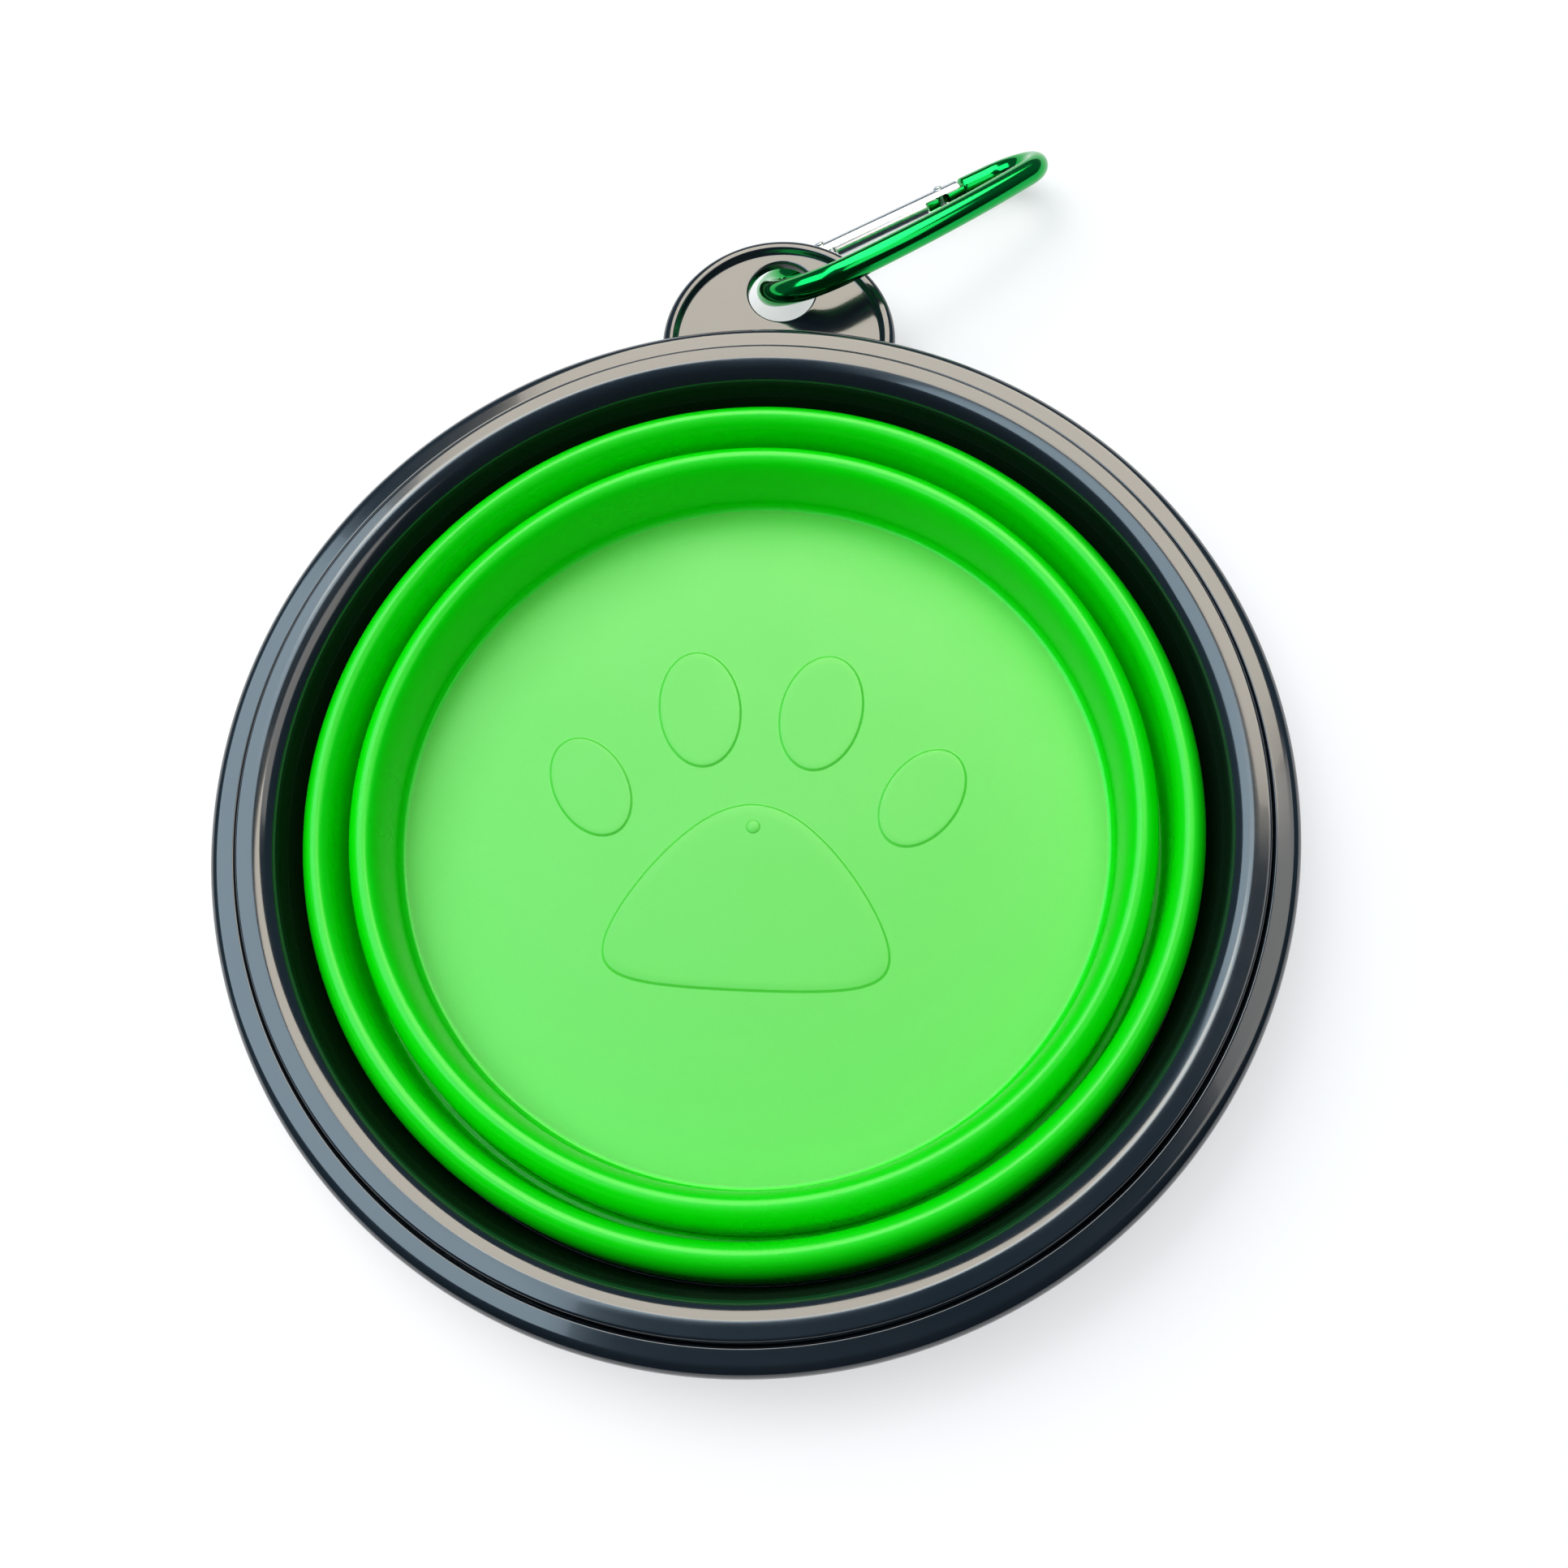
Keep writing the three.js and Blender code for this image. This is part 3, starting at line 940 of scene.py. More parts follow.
@dataclass
class FoldingBody:
    """Soft body of the bowl: two folds and the floor with its raised motif. Sizes in mm."""

    finishes: Finishes
    toe: Toe = Toe()
    web: float = 1.1
    web_edge: float = 0.1
    web_end: float = 0.1
    crest_run: float = 2.3
    crest_drop: float = 4.6
    crest_start: float = 4.0
    crest_back: float = 1.7
    crest_fall: float = 2.4
    upright: float = 0.8
    outer_slide: float = 0.4
    inner_slide: float = 0.3
    pan_run: float = 3.1
    pan_shoulder: float = 0.65
    pan_steep: float = 3.0
    under_lean: float = 0.02
    under_drop: float = 0.2
    fillet: float = 0.9
    floor: float = 2.0
    floor_guard: float = 0.3
    floor_rings: int = 24
    level: float = 0.01
    foot_edge: float = 1.4
    foot_guard: float = 0.2
    motif_rise: float = 0.22
    motif_slope: float = 0.4
    motif_points: int = 200
    motif_rings: tuple[float, ...] = (0.9, 0.6, 0.3, 0.0)
    pad_y: float = -11.5
    pad_width: float = 17.5
    pad_height: float = 12.0
    pad_taper: float = 0.2
    pad_sag: float = 2.6
    mark_radius: float = 0.9
    mark_rise: float = 0.22
    mark_root: float = 0.3
    mark_steps: int = 48

    def __post_init__(self) -> None:
        """Reads the folds' radii and heights from the frame."""
        self.outer_low = outer_radius("outer_fold_web")
        self.inner_low = outer_radius("inner_fold_web")
        self.outer_crest = self.outer_low - self.outer_slide
        self.inner_crest = self.inner_low - self.inner_slide
        self.outer_top = high("middle_ring")
        self.inner_top = high("base_pan")
        self.toe_z = low("middle_ring")

    def crest_side(self, crest_radius: float, top: float) -> np.ndarray:
        """Outer side of a crest, from the point where the web touches it to the top."""
        middle = (crest_radius - self.crest_run, top - self.crest_drop)
        return ellipse_arc(middle, (self.crest_run, self.crest_drop), self.crest_start, 90, 24)

    def web_profile(self, low_radius: float, meets: np.ndarray) -> np.ndarray:
        """Section of a fold's web, a thin leaning strip.

        Args:
            low_radius: Outer radius of its foot, which is inside the toe.
            meets: Radius and height of the place where it meets the crest.

        Returns:
            Points of radius and height.
        """
        steps = np.linspace(0, 1, 40)[:, None]
        foot = np.array([low_radius, self.toe_z + self.toe.height / 2])
        outer = foot * (1 - steps) + meets * steps
        inner = outer[::-1] - np.array([self.web, 0.0])
        return np.vstack([outer, inner])

    def ring_profile(self) -> np.ndarray:
        """Section of the middle ring: crest, wall and the toe of the inner valley.

        Returns:
            Points of radius and height.
        """
        inside = self.inner_low + self.toe.gap + self.upright
        under = self.outer_crest - self.web - self.toe.gap
        crest = self.outer_crest - self.crest_run
        toe = rounded(
            [
                *self.toe.corners(self.inner_low, self.toe_z, inside),
                (under, self.outer_top - self.crest_drop, self.web_edge),
            ]
        )
        outer = self.crest_side(self.outer_crest, self.outer_top)
        middle = (crest, self.outer_top - self.crest_fall)
        inner = ellipse_arc(middle, (self.crest_back, self.crest_fall), 90, 180, 28)
        return np.vstack([toe, outer, inner[1:]])

    def pan_profile(self) -> np.ndarray:
        """Half section of the base: foot, outer wall, crest, inner wall, fillet and floor.

        The inner wall is the cubic curve with the knots P0 on the crest, P1 level with it, P2 over the
        fillet's start and P3 on that start: (1-t)^3 P0 + 3(1-t)^2 t P1 + 3(1-t) t^2 P2 + t^3 P3.

        Returns:
            Points from the axis below to the axis above.
        """
        crest, top = self.inner_crest - self.crest_run, self.inner_top
        edge = crest - self.pan_run
        start, foot = edge + self.fillet, edge + self.toe.wall
        under, crest_z = self.inner_crest - self.web - self.toe.gap, top - self.crest_drop
        base = np.array(
            [
                [0.0, 0.0],
                [foot - self.foot_edge - self.foot_guard, 0.0],
                [foot - self.foot_edge, 0.0],
                [foot, self.foot_edge],
                [under - self.under_lean, crest_z - self.under_drop],
                [under, crest_z],
            ]
        )
        fillet_top = self.floor + self.fillet
        shoulder = [crest - self.pan_shoulder * self.pan_run, top]
        knots = np.array([[crest, top], shoulder, [start, top - self.pan_steep], [start, fillet_top]])
        t = np.linspace(0, 1, 49)[1:, None]
        inner = (1 - t) ** 3 * knots[0] + 3 * (1 - t) ** 2 * t * knots[1]
        inner = inner + 3 * (1 - t) * t**2 * knots[2] + t**3 * knots[3]
        corner = ellipse_arc((edge, fillet_top), (self.fillet, self.fillet), 0, -90, 12)[1:]
        radius = np.linspace(edge - self.floor_guard, 0.0, self.floor_rings)
        plain = np.column_stack([radius, np.full_like(radius, self.floor)])
        return np.vstack([base, self.crest_side(self.inner_crest, top), inner, corner, plain])

    def plateau(self, name: str, outline: np.ndarray) -> bpy.types.Object:
        """A raised patch on the floor: its outline moved inwards up a soft edge, then shrunk to a flat top.

        Args:
            name: Name of the piece.
            outline: Closed outline in mm, counter-clockwise.

        Returns:
            The patch.
        """
        along = np.roll(outline, -1, axis=0) - np.roll(outline, 1, axis=0)
        along /= np.linalg.norm(along, axis=1)[:, None]
        inward = np.column_stack([-along[:, 1], along[:, 0]])
        share = np.linspace(0, 1, 9)
        slope = outline + inward * self.motif_slope * share[:, None, None]
        centre = outline.mean(0)
        shrunk = np.array(self.motif_rings)
        top = centre + (slope[-1] - centre) * shrunk[:, None, None]
        rows = np.concatenate([outline[None], slope, top])
        rise = np.concatenate([[-1.0], eased(share), np.ones_like(shrunk)])
        heights = np.broadcast_to((self.floor + self.motif_rise * rise)[:, None], rows.shape[:2])
        return grid_object(name, np.dstack([rows, heights]), False, True)

    def motif(self) -> list[bpy.types.Object]:
        """Paw print: a wide pad (a cos t (1 - k sin t), y + b sin t - c cos 2t) and four oval toes.

        Returns:
            The five patches.
        """
        t = np.linspace(0, 2 * np.pi, self.motif_points, endpoint=False)
        pad_x = self.pad_width * np.cos(t) * (1 - self.pad_taper * np.sin(t))
        pad_y = self.pad_y + self.pad_height * np.sin(t) - self.pad_sag * np.cos(2 * t)
        made = [self.plateau("paw_pad", np.column_stack([pad_x, pad_y]))]
        for toe in PAW_TOES:
            turn = math.radians(toe.lean)
            a, b = toe.length * np.cos(t), toe.width * np.sin(t)
            x = toe.x + a * math.cos(turn) - b * math.sin(turn)
            y = toe.y + a * math.sin(turn) + b * math.cos(turn)
            made.append(self.plateau(f"paw_toe_left_{toe.name}", np.column_stack([x, y])))
            made.append(self.plateau(f"paw_toe_right_{toe.name}", np.column_stack([-x, y])[::-1]))
        return made

    def gate_mark(self) -> bpy.types.Object:
        """Small dome in the middle of the floor, on the pad, where the mould was filled.

        Returns:
            The dome.
        """
        middle = (0.0, self.floor + self.motif_rise)
        dome = ellipse_arc(middle, (self.mark_radius, self.mark_rise), 0, 90, 10)
        root = self.floor - self.mark_root
        base = np.array([[0.0, root], [self.mark_radius, root]])
        return lathe("mould_gate_mark", np.vstack([base, dome]), self.mark_steps)

    def fold(self, name: str, node: str, profile: np.ndarray) -> None:
        """Makes a fold's web, a still piece in the bowl's frame that rides on no body.

        Args:
            name: Name of the piece.
            node: CAD node that it stands for.
            profile: Its section.
        """
        web = dress(lathe(name, profile), self.finishes.soft_wall, Slot.SOFT_BODY, node)
        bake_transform(web)

    def build(self) -> None:
        """Makes the soft pieces; the pan is satin on its wall and matt on its floor, whose paler tone is
        painted sheen.
        """
        green, matt, slot = self.finishes.soft_wall, self.finishes.soft_floor_painted_sheen, Slot.SOFT_BODY
        seat(lathe("middle_soft_ring", self.ring_profile()), Body.MIDDLE, green, slot, "middle_ring")
        pan = lathe("base_soft_pan", self.pan_profile())
        # The floor's faces take the matt finish whose paler tone is painted sheen.
        paint(pan, green, matt, np.abs(face_heights(pan) - self.floor) < self.level)
        seat(pan, Body.BASE, green, slot, "base_pan")
        outer = self.web_profile(self.outer_low, self.crest_side(self.outer_crest, self.outer_top)[0])
        inner = self.web_profile(self.inner_low, self.crest_side(self.inner_crest, self.inner_top)[0])
        self.fold("outer_soft_web", "outer_fold_web", outer)
        self.fold("inner_soft_web", "inner_fold_web", inner)
        # The paw and the gate mark take the floor's matt finish, painted sheen included.
        for patch in [*self.motif(), self.gate_mark()]:
            seat(patch, Body.BASE, matt, slot, "base_pan")


# Carabiner


@dataclass
class Carabiner:
    """Bent green rod, bare gate, and the small parts of the gate's hinge and latch. Sizes in mm.

    Points are worked out in the carabiner's own plane, x along it, y towards its spine, z across it.
    """

    finishes: Finishes
    length: float = 45.2
    width: float = 19.7
    rod: float = 1.75
    skin: float = 0.05
    far_bow: float = 4.9
    spine: float = 83.0
    nose: float = 10.9
    fit: float = 0.3
    turn_gap: float = 0.4
    tongue: float = 0.6
    tongue_height: float = 1.3
    bevel: float = 0.12
    hook: float = 1.6
    latch_inset: float = 2.9
    rivet: float = 0.7
    latch_pin: float = 0.6
    pin_fit: float = 0.25
    pin_proud: float = 0.3
    pin_dome: float = 0.22
    bore_length: float = 8.0
    wire: float = 0.175
    coil: float = 0.625
    pitch: float = 0.85
    plunger: float = 0.75
    plunger_length: float = 2.2
    plunger_edge: float = 0.2
    edge: float = 0.35
    gate_crease: float = 30.0

    def __post_init__(self) -> None:
        """Works out the carabiner's plane from its joints, and the places along the gate."""
        hinge = joint("gate_hinge")
        self.across = np.array(hinge["axis"]) / np.linalg.norm(hinge["axis"])
        self.along = np.array([-self.across[1], self.across[0], 0.0])
        self.along /= np.linalg.norm(self.along)
        self.up = np.cross(self.across, self.along)
        self.basis = np.stack([self.along, self.up, self.across])
        self.bow = self.width / 2 - self.rod
        self.span = self.length - 2 * self.rod
        self.rod_end = self.bow + self.fit
        self.pivot = self.rod_end + self.turn_gap + self.rod
        pivot_place = np.array(hinge["pos_m"]) / MM
        self.origin = pivot_place - self.pivot * self.along + self.bow * self.up
        self.nose_end = self.span + self.rod - self.nose
        self.gate_end = self.nose_end - self.turn_gap
        self.latch = self.gate_end - self.latch_inset
        self.notch = self.latch_pin + self.pin_fit
        self.hook_end = self.latch - self.notch - self.hook
        self.pivot_slot = self.pivot + self.tongue_height + self.turn_gap
        self.latch_slot = self.hook_end - self.turn_gap
        self.slot_half = self.tongue + self.fit
        self.gate_line = (0.0, -self.bow, 0.0)

    def place(self, points: np.ndarray) -> np.ndarray:
        """Moves points from the carabiner's plane into the bowl's frame, both in mm."""
        return self.origin + points @ self.basis

    def middle_line(self) -> np.ndarray:
        """Rod's middle line: gate side, wide bow, a spine arc that touches both bows, narrow bow, nose.

        Returns:
            Points in the carabiner's plane.
        """
        near = np.array([self.bow, 0.0])
        far = np.array([self.span - self.far_bow, self.far_bow - self.bow])
        apart = np.linalg.norm(far - near)
        way = (far - near) / apart
        aside = np.array([way[1], -way[0]])
        near_reach, far_reach = self.spine - self.bow, self.spine - self.far_bow
        ahead = (near_reach**2 - far_reach**2 + apart**2) / (2 * apart)
        middle = near + way * ahead + aside * math.sqrt(near_reach**2 - ahead**2)
        start = math.degrees(math.atan2(*(near - middle)[::-1]))
        end = math.degrees(math.atan2(*(far - middle)[::-1]))
        return np.vstack(
            [
                [[self.rod_end, -self.bow]],
                ellipse_arc(tuple(near), (self.bow, self.bow), -90, start - 360, 90),
                ellipse_arc(tuple(middle), (self.spine, self.spine), start, end, 60)[1:],
                ellipse_arc(tuple(far), (self.far_bow, self.far_bow), end, -90, 60)[1:],
                [[self.nose_end, -self.bow]],
            ]
        )

    def rod_piece(self) -> bpy.types.Object:
        """Bent rod with rounded ends: a circle along the middle line, thinner than the CAD rod by a skin.

        Returns:
            The rod.
        """
        line = self.middle_line()
        way = np.concatenate([[0], np.cumsum(np.linalg.norm(np.diff(line, axis=0), axis=1))])
        turn = np.radians(np.linspace(0, 90, 7))
        tip = self.edge * (1 - np.cos(turn))
        thick = self.rod - self.skin
        thin = thick - self.edge * (1 - np.sin(turn))
        body = np.linspace(self.edge, way[-1] - self.edge, 260)[1:-1]
        where = np.concatenate([tip, body, way[-1] - tip[::-1]])
        radius = np.concatenate([thin, np.full(len(body), thick), thin[::-1]])
        flat = np.column_stack([np.interp(where, way, line[:, i]) for i in range(2)])
        heading = np.gradient(flat, where, axis=0)
        heading /= np.linalg.norm(heading, axis=1)[:, None]
        side = np.column_stack([-heading[:, 1], heading[:, 0]]) @ self.basis[:2]
        across = np.broadcast_to(self.across, side.shape)
        line = self.place(np.column_stack([flat, np.zeros(len(flat))]))
        return tube("carabiner_rod", line, side, across, radius, 40)

    def blade(self, name: str, outline: np.ndarray, half: float) -> bpy.types.Object:
        """A flat blade: its outline, drawn in a little by the bevel at both faces.

        Args:
            name: Name of the piece.
            outline: Outline in the carabiner's plane.
            half: Half of its thickness.

        Returns:
            The blade.
        """
        middle = outline.mean(0)
        inner = middle + (outline - middle) * (1 - self.bevel / 2)
        rows = [(inner, -half), (outline, self.bevel - half), (outline, half - self.bevel), (inner, half)]
        points = np.stack([np.column_stack([shape, np.full(len(shape), z)]) for shape, z in rows])
        return grid_object(name, self.place(points), False, True, caps=True)

    def pivot_tongue(self) -> bpy.types.Object:
        """Tongue of the rod that the rivet goes through, rounded about it.

        Returns:
            The tongue.
        """
        height = self.tongue_height
        round_end = ellipse_arc((self.pivot, -self.bow), (height, height), -90, 90, 24)
        root = np.array([[self.bow, height - self.bow], [self.bow, -height - self.bow]])
        return self.blade("pivot_tongue", np.vstack([round_end, root]), self.tongue)

    def nose_hook(self) -> bpy.types.Object:
        """Tongue of the nose, with the round-bottomed notch that holds the latch pin.

        Returns:
            The hook.
        """
        height = self.tongue_height
        seat_arc = ellipse_arc((self.latch, -self.bow), (self.notch, self.notch), 180, 360, 16)
        low_line, high_line = -self.bow - height, -self.bow + height
        outline = np.vstack(
            [
                [[self.hook_end, low_line], [self.nose_end + self.rod, low_line]],
                [[self.nose_end + self.rod, high_line], [self.latch + self.notch, high_line]],
                seat_arc[::-1],
                [[self.latch - self.notch, high_line], [self.hook_end, high_line]],
            ]
        )
        return self.blade("nose_hook", outline, self.tongue)

    def turned(
        self, name: str, profile: np.ndarray, start: Sequence[float], axis: Sequence[float]
    ) -> bpy.types.Object:
        """Turns a profile of (way along the axis, radius) about a line of the carabiner's plane.

        Args:
            name: Name of the piece.
            profile: Rows of way along the axis and radius, both ends on the axis.
            start: Point where the way is zero.
            axis: Unit direction of the line.

        Returns:
            The turned piece.
        """
        axis = np.array(axis, float)
        first = np.cross(axis, [0.0, 1.0, 0.0])
        second = np.cross(axis, first)
        angle = np.linspace(0, 2 * np.pi, 48, endpoint=False)[:, None, None]
        ring = np.cos(angle) * first + np.sin(angle) * second
        points = np.array(start, float) + profile[None, :, :1] * axis + profile[None, :, 1:] * ring
        return grid_object(name, self.place(points), True, False)

    def pin(self, name: str, x: float, radius: float) -> bpy.types.Object:
        """A cross pin with a low domed head at both ends.

        Args:
            name: Name of the piece.
            x: Place along the gate.
            radius: Radius of the pin.

        Returns:
            The pin.
        """
        half = self.rod + self.pin_proud
        dome = ellipse_arc((half - self.pin_dome, 0.0), (self.pin_dome, radius), 90, 0, 10)
        profile = np.vstack([dome[::-1] * [-1, 1], dome])
        return self.turned(name, profile, (x, -self.bow, 0.0), (0.0, 0.0, 1.0))

    def slot_block(self, start: float, end: float) -> bpy.types.Object:
        """Block that cuts a slot into the gate.

        Args:
            start: Place along the gate where it begins.
            end: Place where it ends.

        Returns:
            The block.
        """
        low_y, high_y = -self.bow - 2 * self.rod, -self.bow + 2 * self.rod
        ring = np.array([[start, low_y], [end, low_y], [end, high_y], [start, high_y]])
        faces = (-self.slot_half, self.slot_half)
        points = np.stack([np.column_stack([ring, np.full(len(ring), z)]) for z in faces])
        return grid_object("slot_block", self.place(points), False, True, caps=True)

    def gate_bar(self) -> bpy.types.Object:
        """Round bar with a ball end at the pivot and a fork slot cut into both ends.

        Returns:
            The bar.
        """
        edge = self.edge
        ball = ellipse_arc((self.pivot, 0.0), (self.rod, self.rod), 180, 90, 18)
        free = ellipse_arc((self.gate_end - edge, self.rod - edge), (edge, edge), 90, 0, 8)
        profile = np.vstack([ball, free, [[self.gate_end, 0.0]]])
        bar = self.turned("gate_bar", profile, self.gate_line, (1.0, 0.0, 0.0))
        beyond = 2 * self.rod
        blocks = [
            self.slot_block(self.pivot - beyond, self.pivot_slot),
            self.slot_block(self.latch_slot, self.gate_end + beyond),
        ]
        for block in blocks:
            cut = bar.modifiers.new("slot", "BOOLEAN")
            cut.operation = "DIFFERENCE"
            cut.solver = "EXACT"
            cut.object = block
        bpy.context.view_layer.update()
        ready = bpy.context.evaluated_depsgraph_get()
        slotted = bpy.data.meshes.new_from_object(bar.evaluated_get(ready))
        bar.modifiers.clear()
        bar.data = slotted
        for block in blocks:
            bpy.data.objects.remove(block)
        finish_mesh(bar.data, self.gate_crease)
        return bar

    def spring_piece(self) -> bpy.types.Object:
        """Coil of the gate: a wire carried along (x0 + p a / 2 pi, r cos a, r sin a).

        Returns:
            The coil.
        """
        start = self.pivot + self.tongue_height + 2 * self.fit + self.plunger_length + self.wire
        end = self.pivot_slot + self.bore_length - self.fit - self.wire
        curls = math.floor((end - start) / self.pitch)
        lead = self.pitch / (2 * np.pi)
        angle = np.linspace(0, 2 * np.pi * curls, curls * 24 + 1)
        radial = np.column_stack([np.zeros_like(angle), np.cos(angle), np.sin(angle)])
        line = np.column_stack([start + lead * angle, radial[:, 1:] * self.coil]) + self.gate_line
        turning = np.column_stack([-np.sin(angle), np.cos(angle)]) * self.coil
        heading = np.column_stack([np.full_like(angle, lead), turning])
        heading /= np.linalg.norm(heading, axis=1)[:, None]
        across = np.cross(heading, radial)
        radius = np.full(len(angle), self.wire)
        return tube("gate_coil", self.place(line), radial @ self.basis, across @ self.basis, radius, 10)

    def plunger_piece(self) -> bpy.types.Object:
        """Round-ended pin between the coil and the tongue.

        Returns:
            The pin.
        """
        start = self.pivot + self.tongue_height + self.fit
        end, edge = start + self.plunger_length, self.plunger_edge
        tip = ellipse_arc((start + edge, self.plunger - edge), (edge, edge), 180, 90, 6)
        tail = ellipse_arc((end - edge, self.plunger - edge), (edge, edge), 90, 0, 6)
        profile = np.vstack([[[start, 0.0]], tip, tail, [[end, 0.0]]])
        return self.turned("gate_plunger_pin", profile, self.gate_line, (1.0, 0.0, 0.0))

    def build(self) -> None:
        """Makes the rod with its tongues, the gate and the small parts."""
        green, bare, steel = self.finishes.green_metal, self.finishes.bare_metal, self.finishes.steel
        for piece in (self.rod_piece(), self.pivot_tongue(), self.nose_hook()):
            seat(piece, Body.CARABINER, green, Slot.GREEN_ANODISED, "carabiner_frame")
        rivet = self.pin("pivot_rivet", self.pivot, self.rivet)
        seat(rivet, Body.CARABINER, steel, Slot.STEEL, "gate_pivot_rivet")
        seat(self.gate_bar(), Body.GATE, bare, Slot.BARE_ALUMINIUM, "carabiner_gate")
        latch = self.pin("latch_pin", self.latch, self.latch_pin)
        seat(latch, Body.GATE, steel, Slot.STEEL, "gate_latch_pin")
        seat(self.spring_piece(), Body.GATE, steel, Slot.STEEL, "gate_spring")
        seat(self.plunger_piece(), Body.GATE, steel, Slot.STEEL, "gate_plunger")


# Studio


@dataclass(frozen=True)
class Softbox:
    """A soft lamp. Azimuth is from the far side of the picture to its right; lengths in metres.

    A card is seen in glossy surfaces only; any other lamp lights the surfaces without being seen in them.
    """

    name: str
    azimuth: float
    elevation: float
    distance: float
    width: float
    height: float
    radiance: float
    colour: Colour
    card: bool = False


SOFTBOXES = (
    Softbox("warm_card", 24.0, 50.0, 0.9, 0.72, 0.7, 6.4, (1.0, 0.91, 0.77), card=True),
    Softbox("cool_card", -56.0, 58.0, 0.85, 0.62, 0.7, 3.9, (0.66, 0.86, 1.0), card=True),
    Softbox("side_card", 98.0, 55.0, 0.8, 0.4, 0.4, 2.0, (1.0, 0.96, 0.9), card=True),
    Softbox("window_key", -35.0, 54.0, 1.0, 0.9, 0.7, 2.8, (1.0, 0.99, 0.97)),
    Softbox("top_fill", 0.0, 88.0, 1.0, 1.0, 1.0, 1.55, (1.0, 1.0, 1.0)),
    Softbox("near_fill", 180.0, 48.0, 0.9, 0.9, 0.6, 0.65, (1.0, 1.0, 1.0)),
)


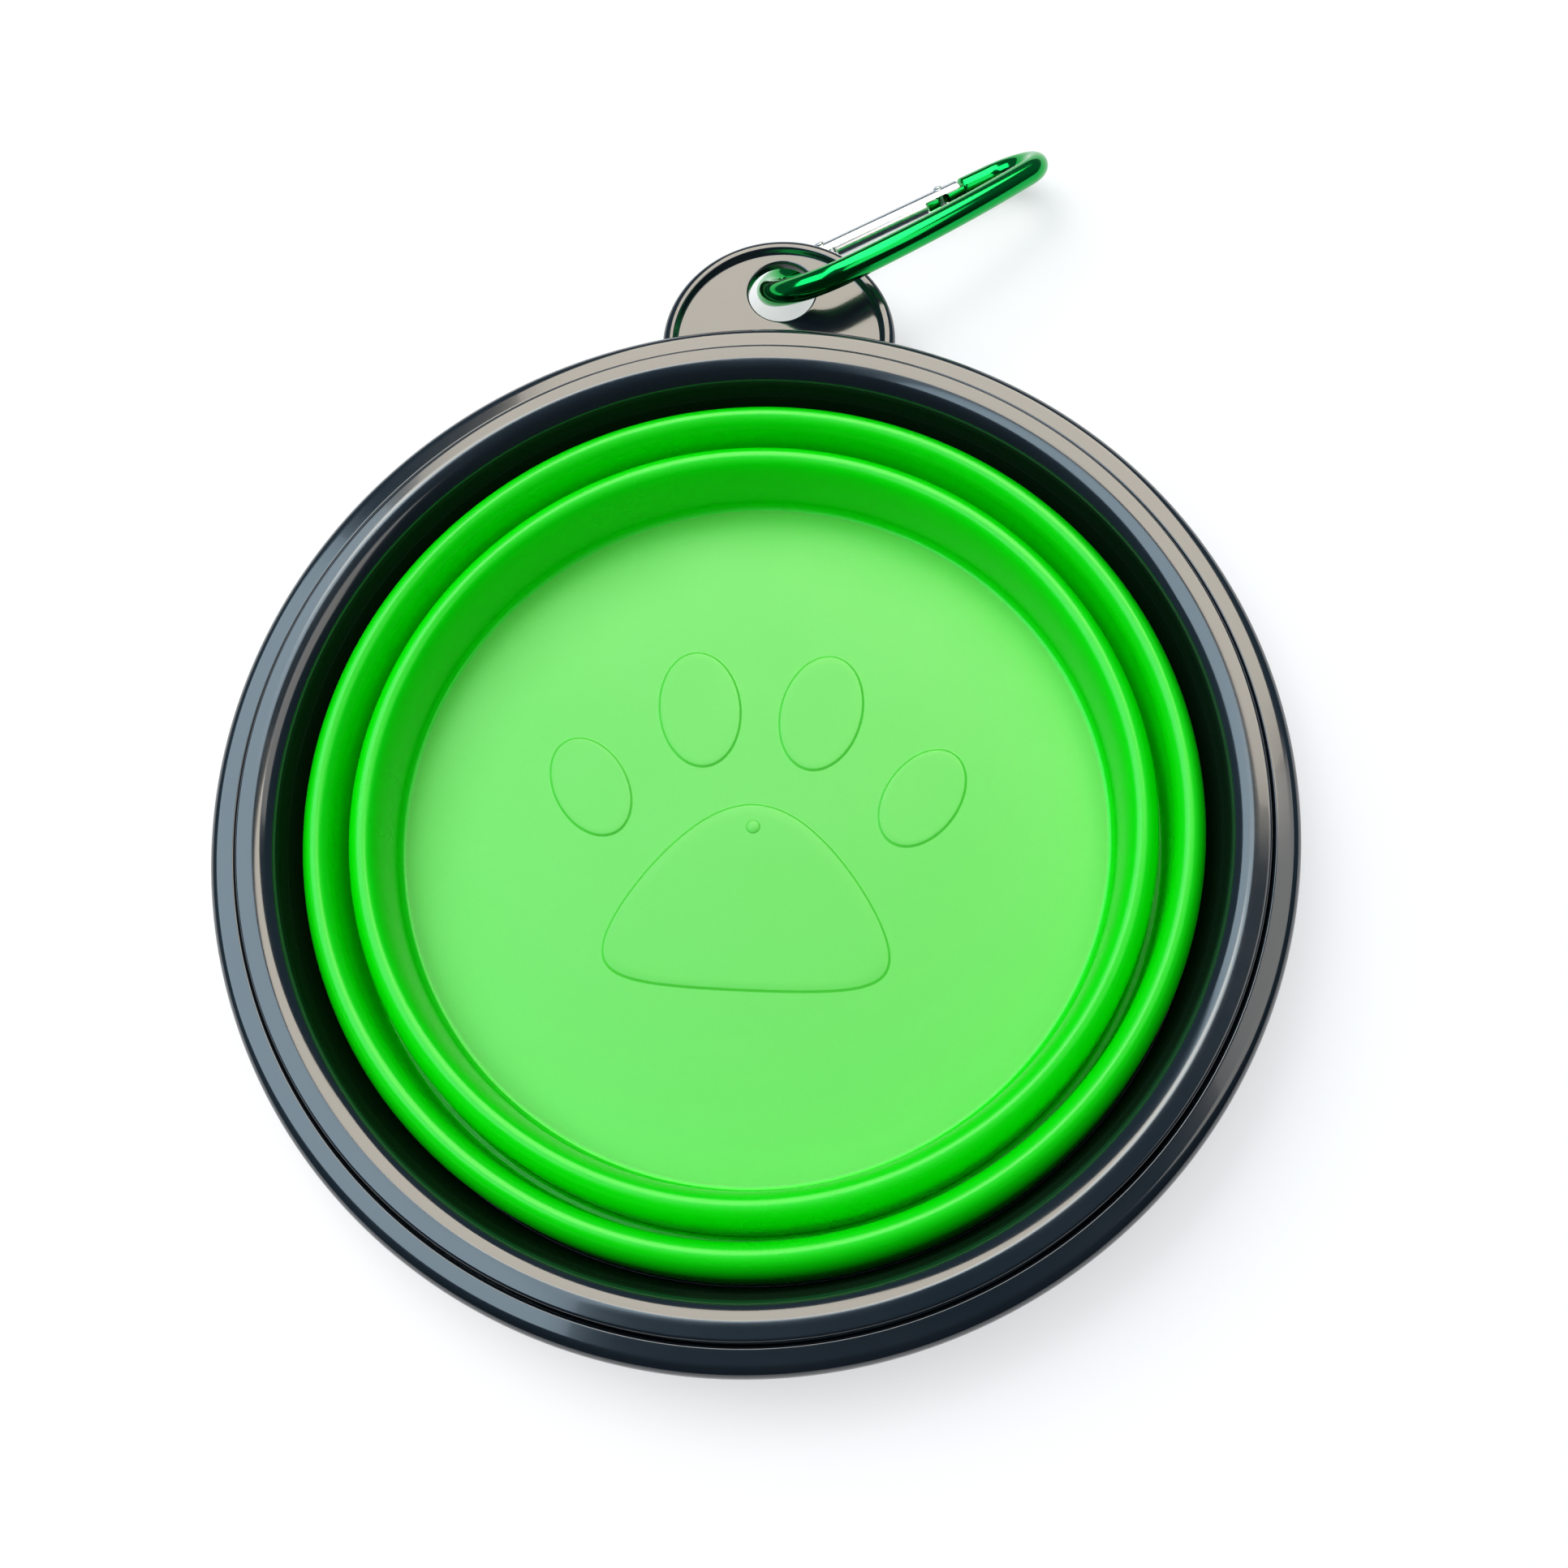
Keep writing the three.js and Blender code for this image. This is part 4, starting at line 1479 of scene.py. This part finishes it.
@dataclass
class Studio:
    """Camera at the photograph's place, lamps, pale floor and the dim room around.

    Angles in degrees, lengths in mm; focal, frame_side and aim_pixel in pixels of the photograph.
    """

    azimuth: float = 18.3
    elevation: float = 71.9
    roll: float = -15.45
    distance: float = 198.2
    aim_height: float = 13.8
    focal: float = 2058.0
    frame_side: float = 1932.0
    aim_pixel: Pair = (918.4, 984.3)
    sensor: float = 36.0
    clip_start: float = 10.0
    clip_end: float = 20000.0
    floor_half: float = 4000.0
    floor_tone: float = 0.6
    floor_glow: float = 0.5
    room: Colour = (0.09, 0.16, 0.22)
    dark_side: Colour = (0.02, 0.03, 0.04)
    dark_range: Pair = (-0.1, 0.5)

    def __post_init__(self) -> None:
        """Works out the picture's far and right directions on the floor."""
        turn = math.radians(self.azimuth)
        self.far = np.array([-math.sin(turn), math.cos(turn), 0.0])
        self.right = np.array([math.cos(turn), math.sin(turn), 0.0])
        self.up = np.array([0.0, 0.0, 1.0])

    def camera(self) -> None:
        """Places the camera so that the rim's middle falls on its pixel of the photograph."""
        tilt, roll = math.radians(self.elevation), math.radians(self.roll)
        back = self.up * math.sin(tilt) - self.far * math.cos(tilt)
        top = self.far * math.sin(tilt) + self.up * math.cos(tilt)
        side = self.right * math.cos(roll) + top * math.sin(roll)
        top = top * math.cos(roll) - self.right * math.sin(roll)
        half = self.frame_side / 2
        off_x = (self.aim_pixel[0] - half) / self.focal
        off_y = (half - self.aim_pixel[1]) / self.focal
        look = -back - off_x * side - off_y * top
        look /= np.linalg.norm(look)
        side = side - look * (side @ look)
        side /= np.linalg.norm(side)
        top = np.cross(side, look)
        lens = bpy.data.cameras.new("photo_camera")
        lens.sensor_width = self.sensor
        lens.lens = self.sensor * self.focal / self.frame_side
        lens.clip_start = self.clip_start * MM
        lens.clip_end = self.clip_end * MM
        view = linked("photo_camera", lens)
        place = (back * self.distance + self.up * self.aim_height) * MM
        columns = np.column_stack([side, top, -look, place])
        view.matrix_world = Matrix(np.vstack([columns, [0, 0, 0, 1]]).tolist())
        bpy.context.scene.camera = view

    def lamp(self, box: Softbox) -> None:
        """Hangs a softbox that faces the bowl; a lamp of radiance L and area A has the power pi L A.

        Args:
            box: The softbox.
        """
        turn, tilt = math.radians(box.azimuth), math.radians(box.elevation)
        flat = self.far * math.cos(turn) + self.right * math.sin(turn)
        way = flat * math.cos(tilt) + self.up * math.sin(tilt)
        light = bpy.data.lights.new(box.name, "AREA")
        light.shape = "RECTANGLE"
        light.size, light.size_y = box.width, box.height
        light.color = box.colour
        light.energy = math.pi * box.radiance * box.width * box.height
        lamp = linked(box.name, light)
        lamp.visible_glossy = box.card
        lamp.visible_diffuse = not box.card
        lamp.location = Vector((way * box.distance).tolist())
        lamp.rotation_euler = Vector((-way).tolist()).to_track_quat("-Z", "Y").to_euler()

    def floor(self) -> None:
        """Pale floor that keeps the bowl's shadow and shows white to the camera and in reflections."""
        ends = np.array([-self.floor_half, self.floor_half])
        y, x = np.meshgrid(ends, ends, indexing="ij")
        ground = grid_object("studio_floor", np.stack([x, y, np.zeros_like(x)], axis=-1), False, False)
        white = bpy.data.materials.new("studio_white")
        white.use_nodes = True
        graph = Graph(white.node_tree)
        tone = self.floor_tone
        matt = graph.add("ShaderNodeBsdfDiffuse", {"Color": (tone, tone, tone, 1.0)})
        glow = graph.add("ShaderNodeEmission", {"Color": (1.0, 1.0, 1.0, 1.0)})
        path = graph.add("ShaderNodeLightPath")
        seen = graph.add("ShaderNodeMath", operation="MAXIMUM")
        also = graph.add("ShaderNodeMath", operation="MAXIMUM")
        level = graph.add("ShaderNodeMath", {1: self.floor_glow}, operation="MULTIPLY")
        both = graph.add("ShaderNodeAddShader")
        out = graph.add("ShaderNodeOutputMaterial")
        graph.join(path, "Is Camera Ray", seen, 0)
        graph.join(path, "Is Glossy Ray", seen, 1)
        graph.join(seen, "Value", also, 0)
        graph.join(path, "Is Transmission Ray", also, 1)
        graph.join(also, "Value", level, 0)
        graph.join(level, "Value", glow, "Strength")
        graph.join(matt, "BSDF", both, 0)
        graph.join(glow, "Emission", both, 1)
        graph.join(both, "Shader", out, "Surface")
        ground.data.materials.append(white)

    def surroundings(self) -> None:
        """Dim room that grows darker towards the near side of the picture."""
        world = bpy.data.worlds.new("dim_room")
        world.use_nodes = True
        graph = Graph(world.node_tree)
        shade = graph.add("ShaderNodeBackground", {"Strength": 1.0})
        out = graph.add("ShaderNodeOutputWorld")
        way = graph.add("ShaderNodeTexCoord")
        near = graph.add("ShaderNodeVectorMath", {1: tuple((-self.far).tolist())}, operation="DOT_PRODUCT")
        ends = dict(zip(("From Min", "From Max"), self.dark_range))
        fade = graph.add("ShaderNodeMapRange", ends)
        graph.join(way, "Generated", near, 0)
        graph.join(near, "Value", fade, "Value")
        tone = mixed_colour(graph, fade.outputs["Result"], self.room, self.dark_side)
        graph.link(tone, shade.inputs["Color"])
        graph.join(shade, "Background", out, "Surface")
        bpy.context.scene.world = world

    def build(self) -> None:
        """Sets up view, camera, floor, room and lamps."""
        bpy.context.scene.view_settings.view_transform = "Standard"
        self.camera()
        self.floor()
        self.surroundings()
        for box in SOFTBOXES:
            self.lamp(box)


def write_sizes() -> None:
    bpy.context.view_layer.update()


def main() -> None:
    """Builds the bowl's looks and the studio around it."""
    logging.basicConfig(level=logging.INFO, format="%(name)s: %(message)s")
    finishes = Finishes()
    Studio().build()
    Rim(finishes).build()
    FoldingBody(finishes).build()
    Carabiner(finishes).build()
    write_sizes()


if __name__ == "__main__":
    main()
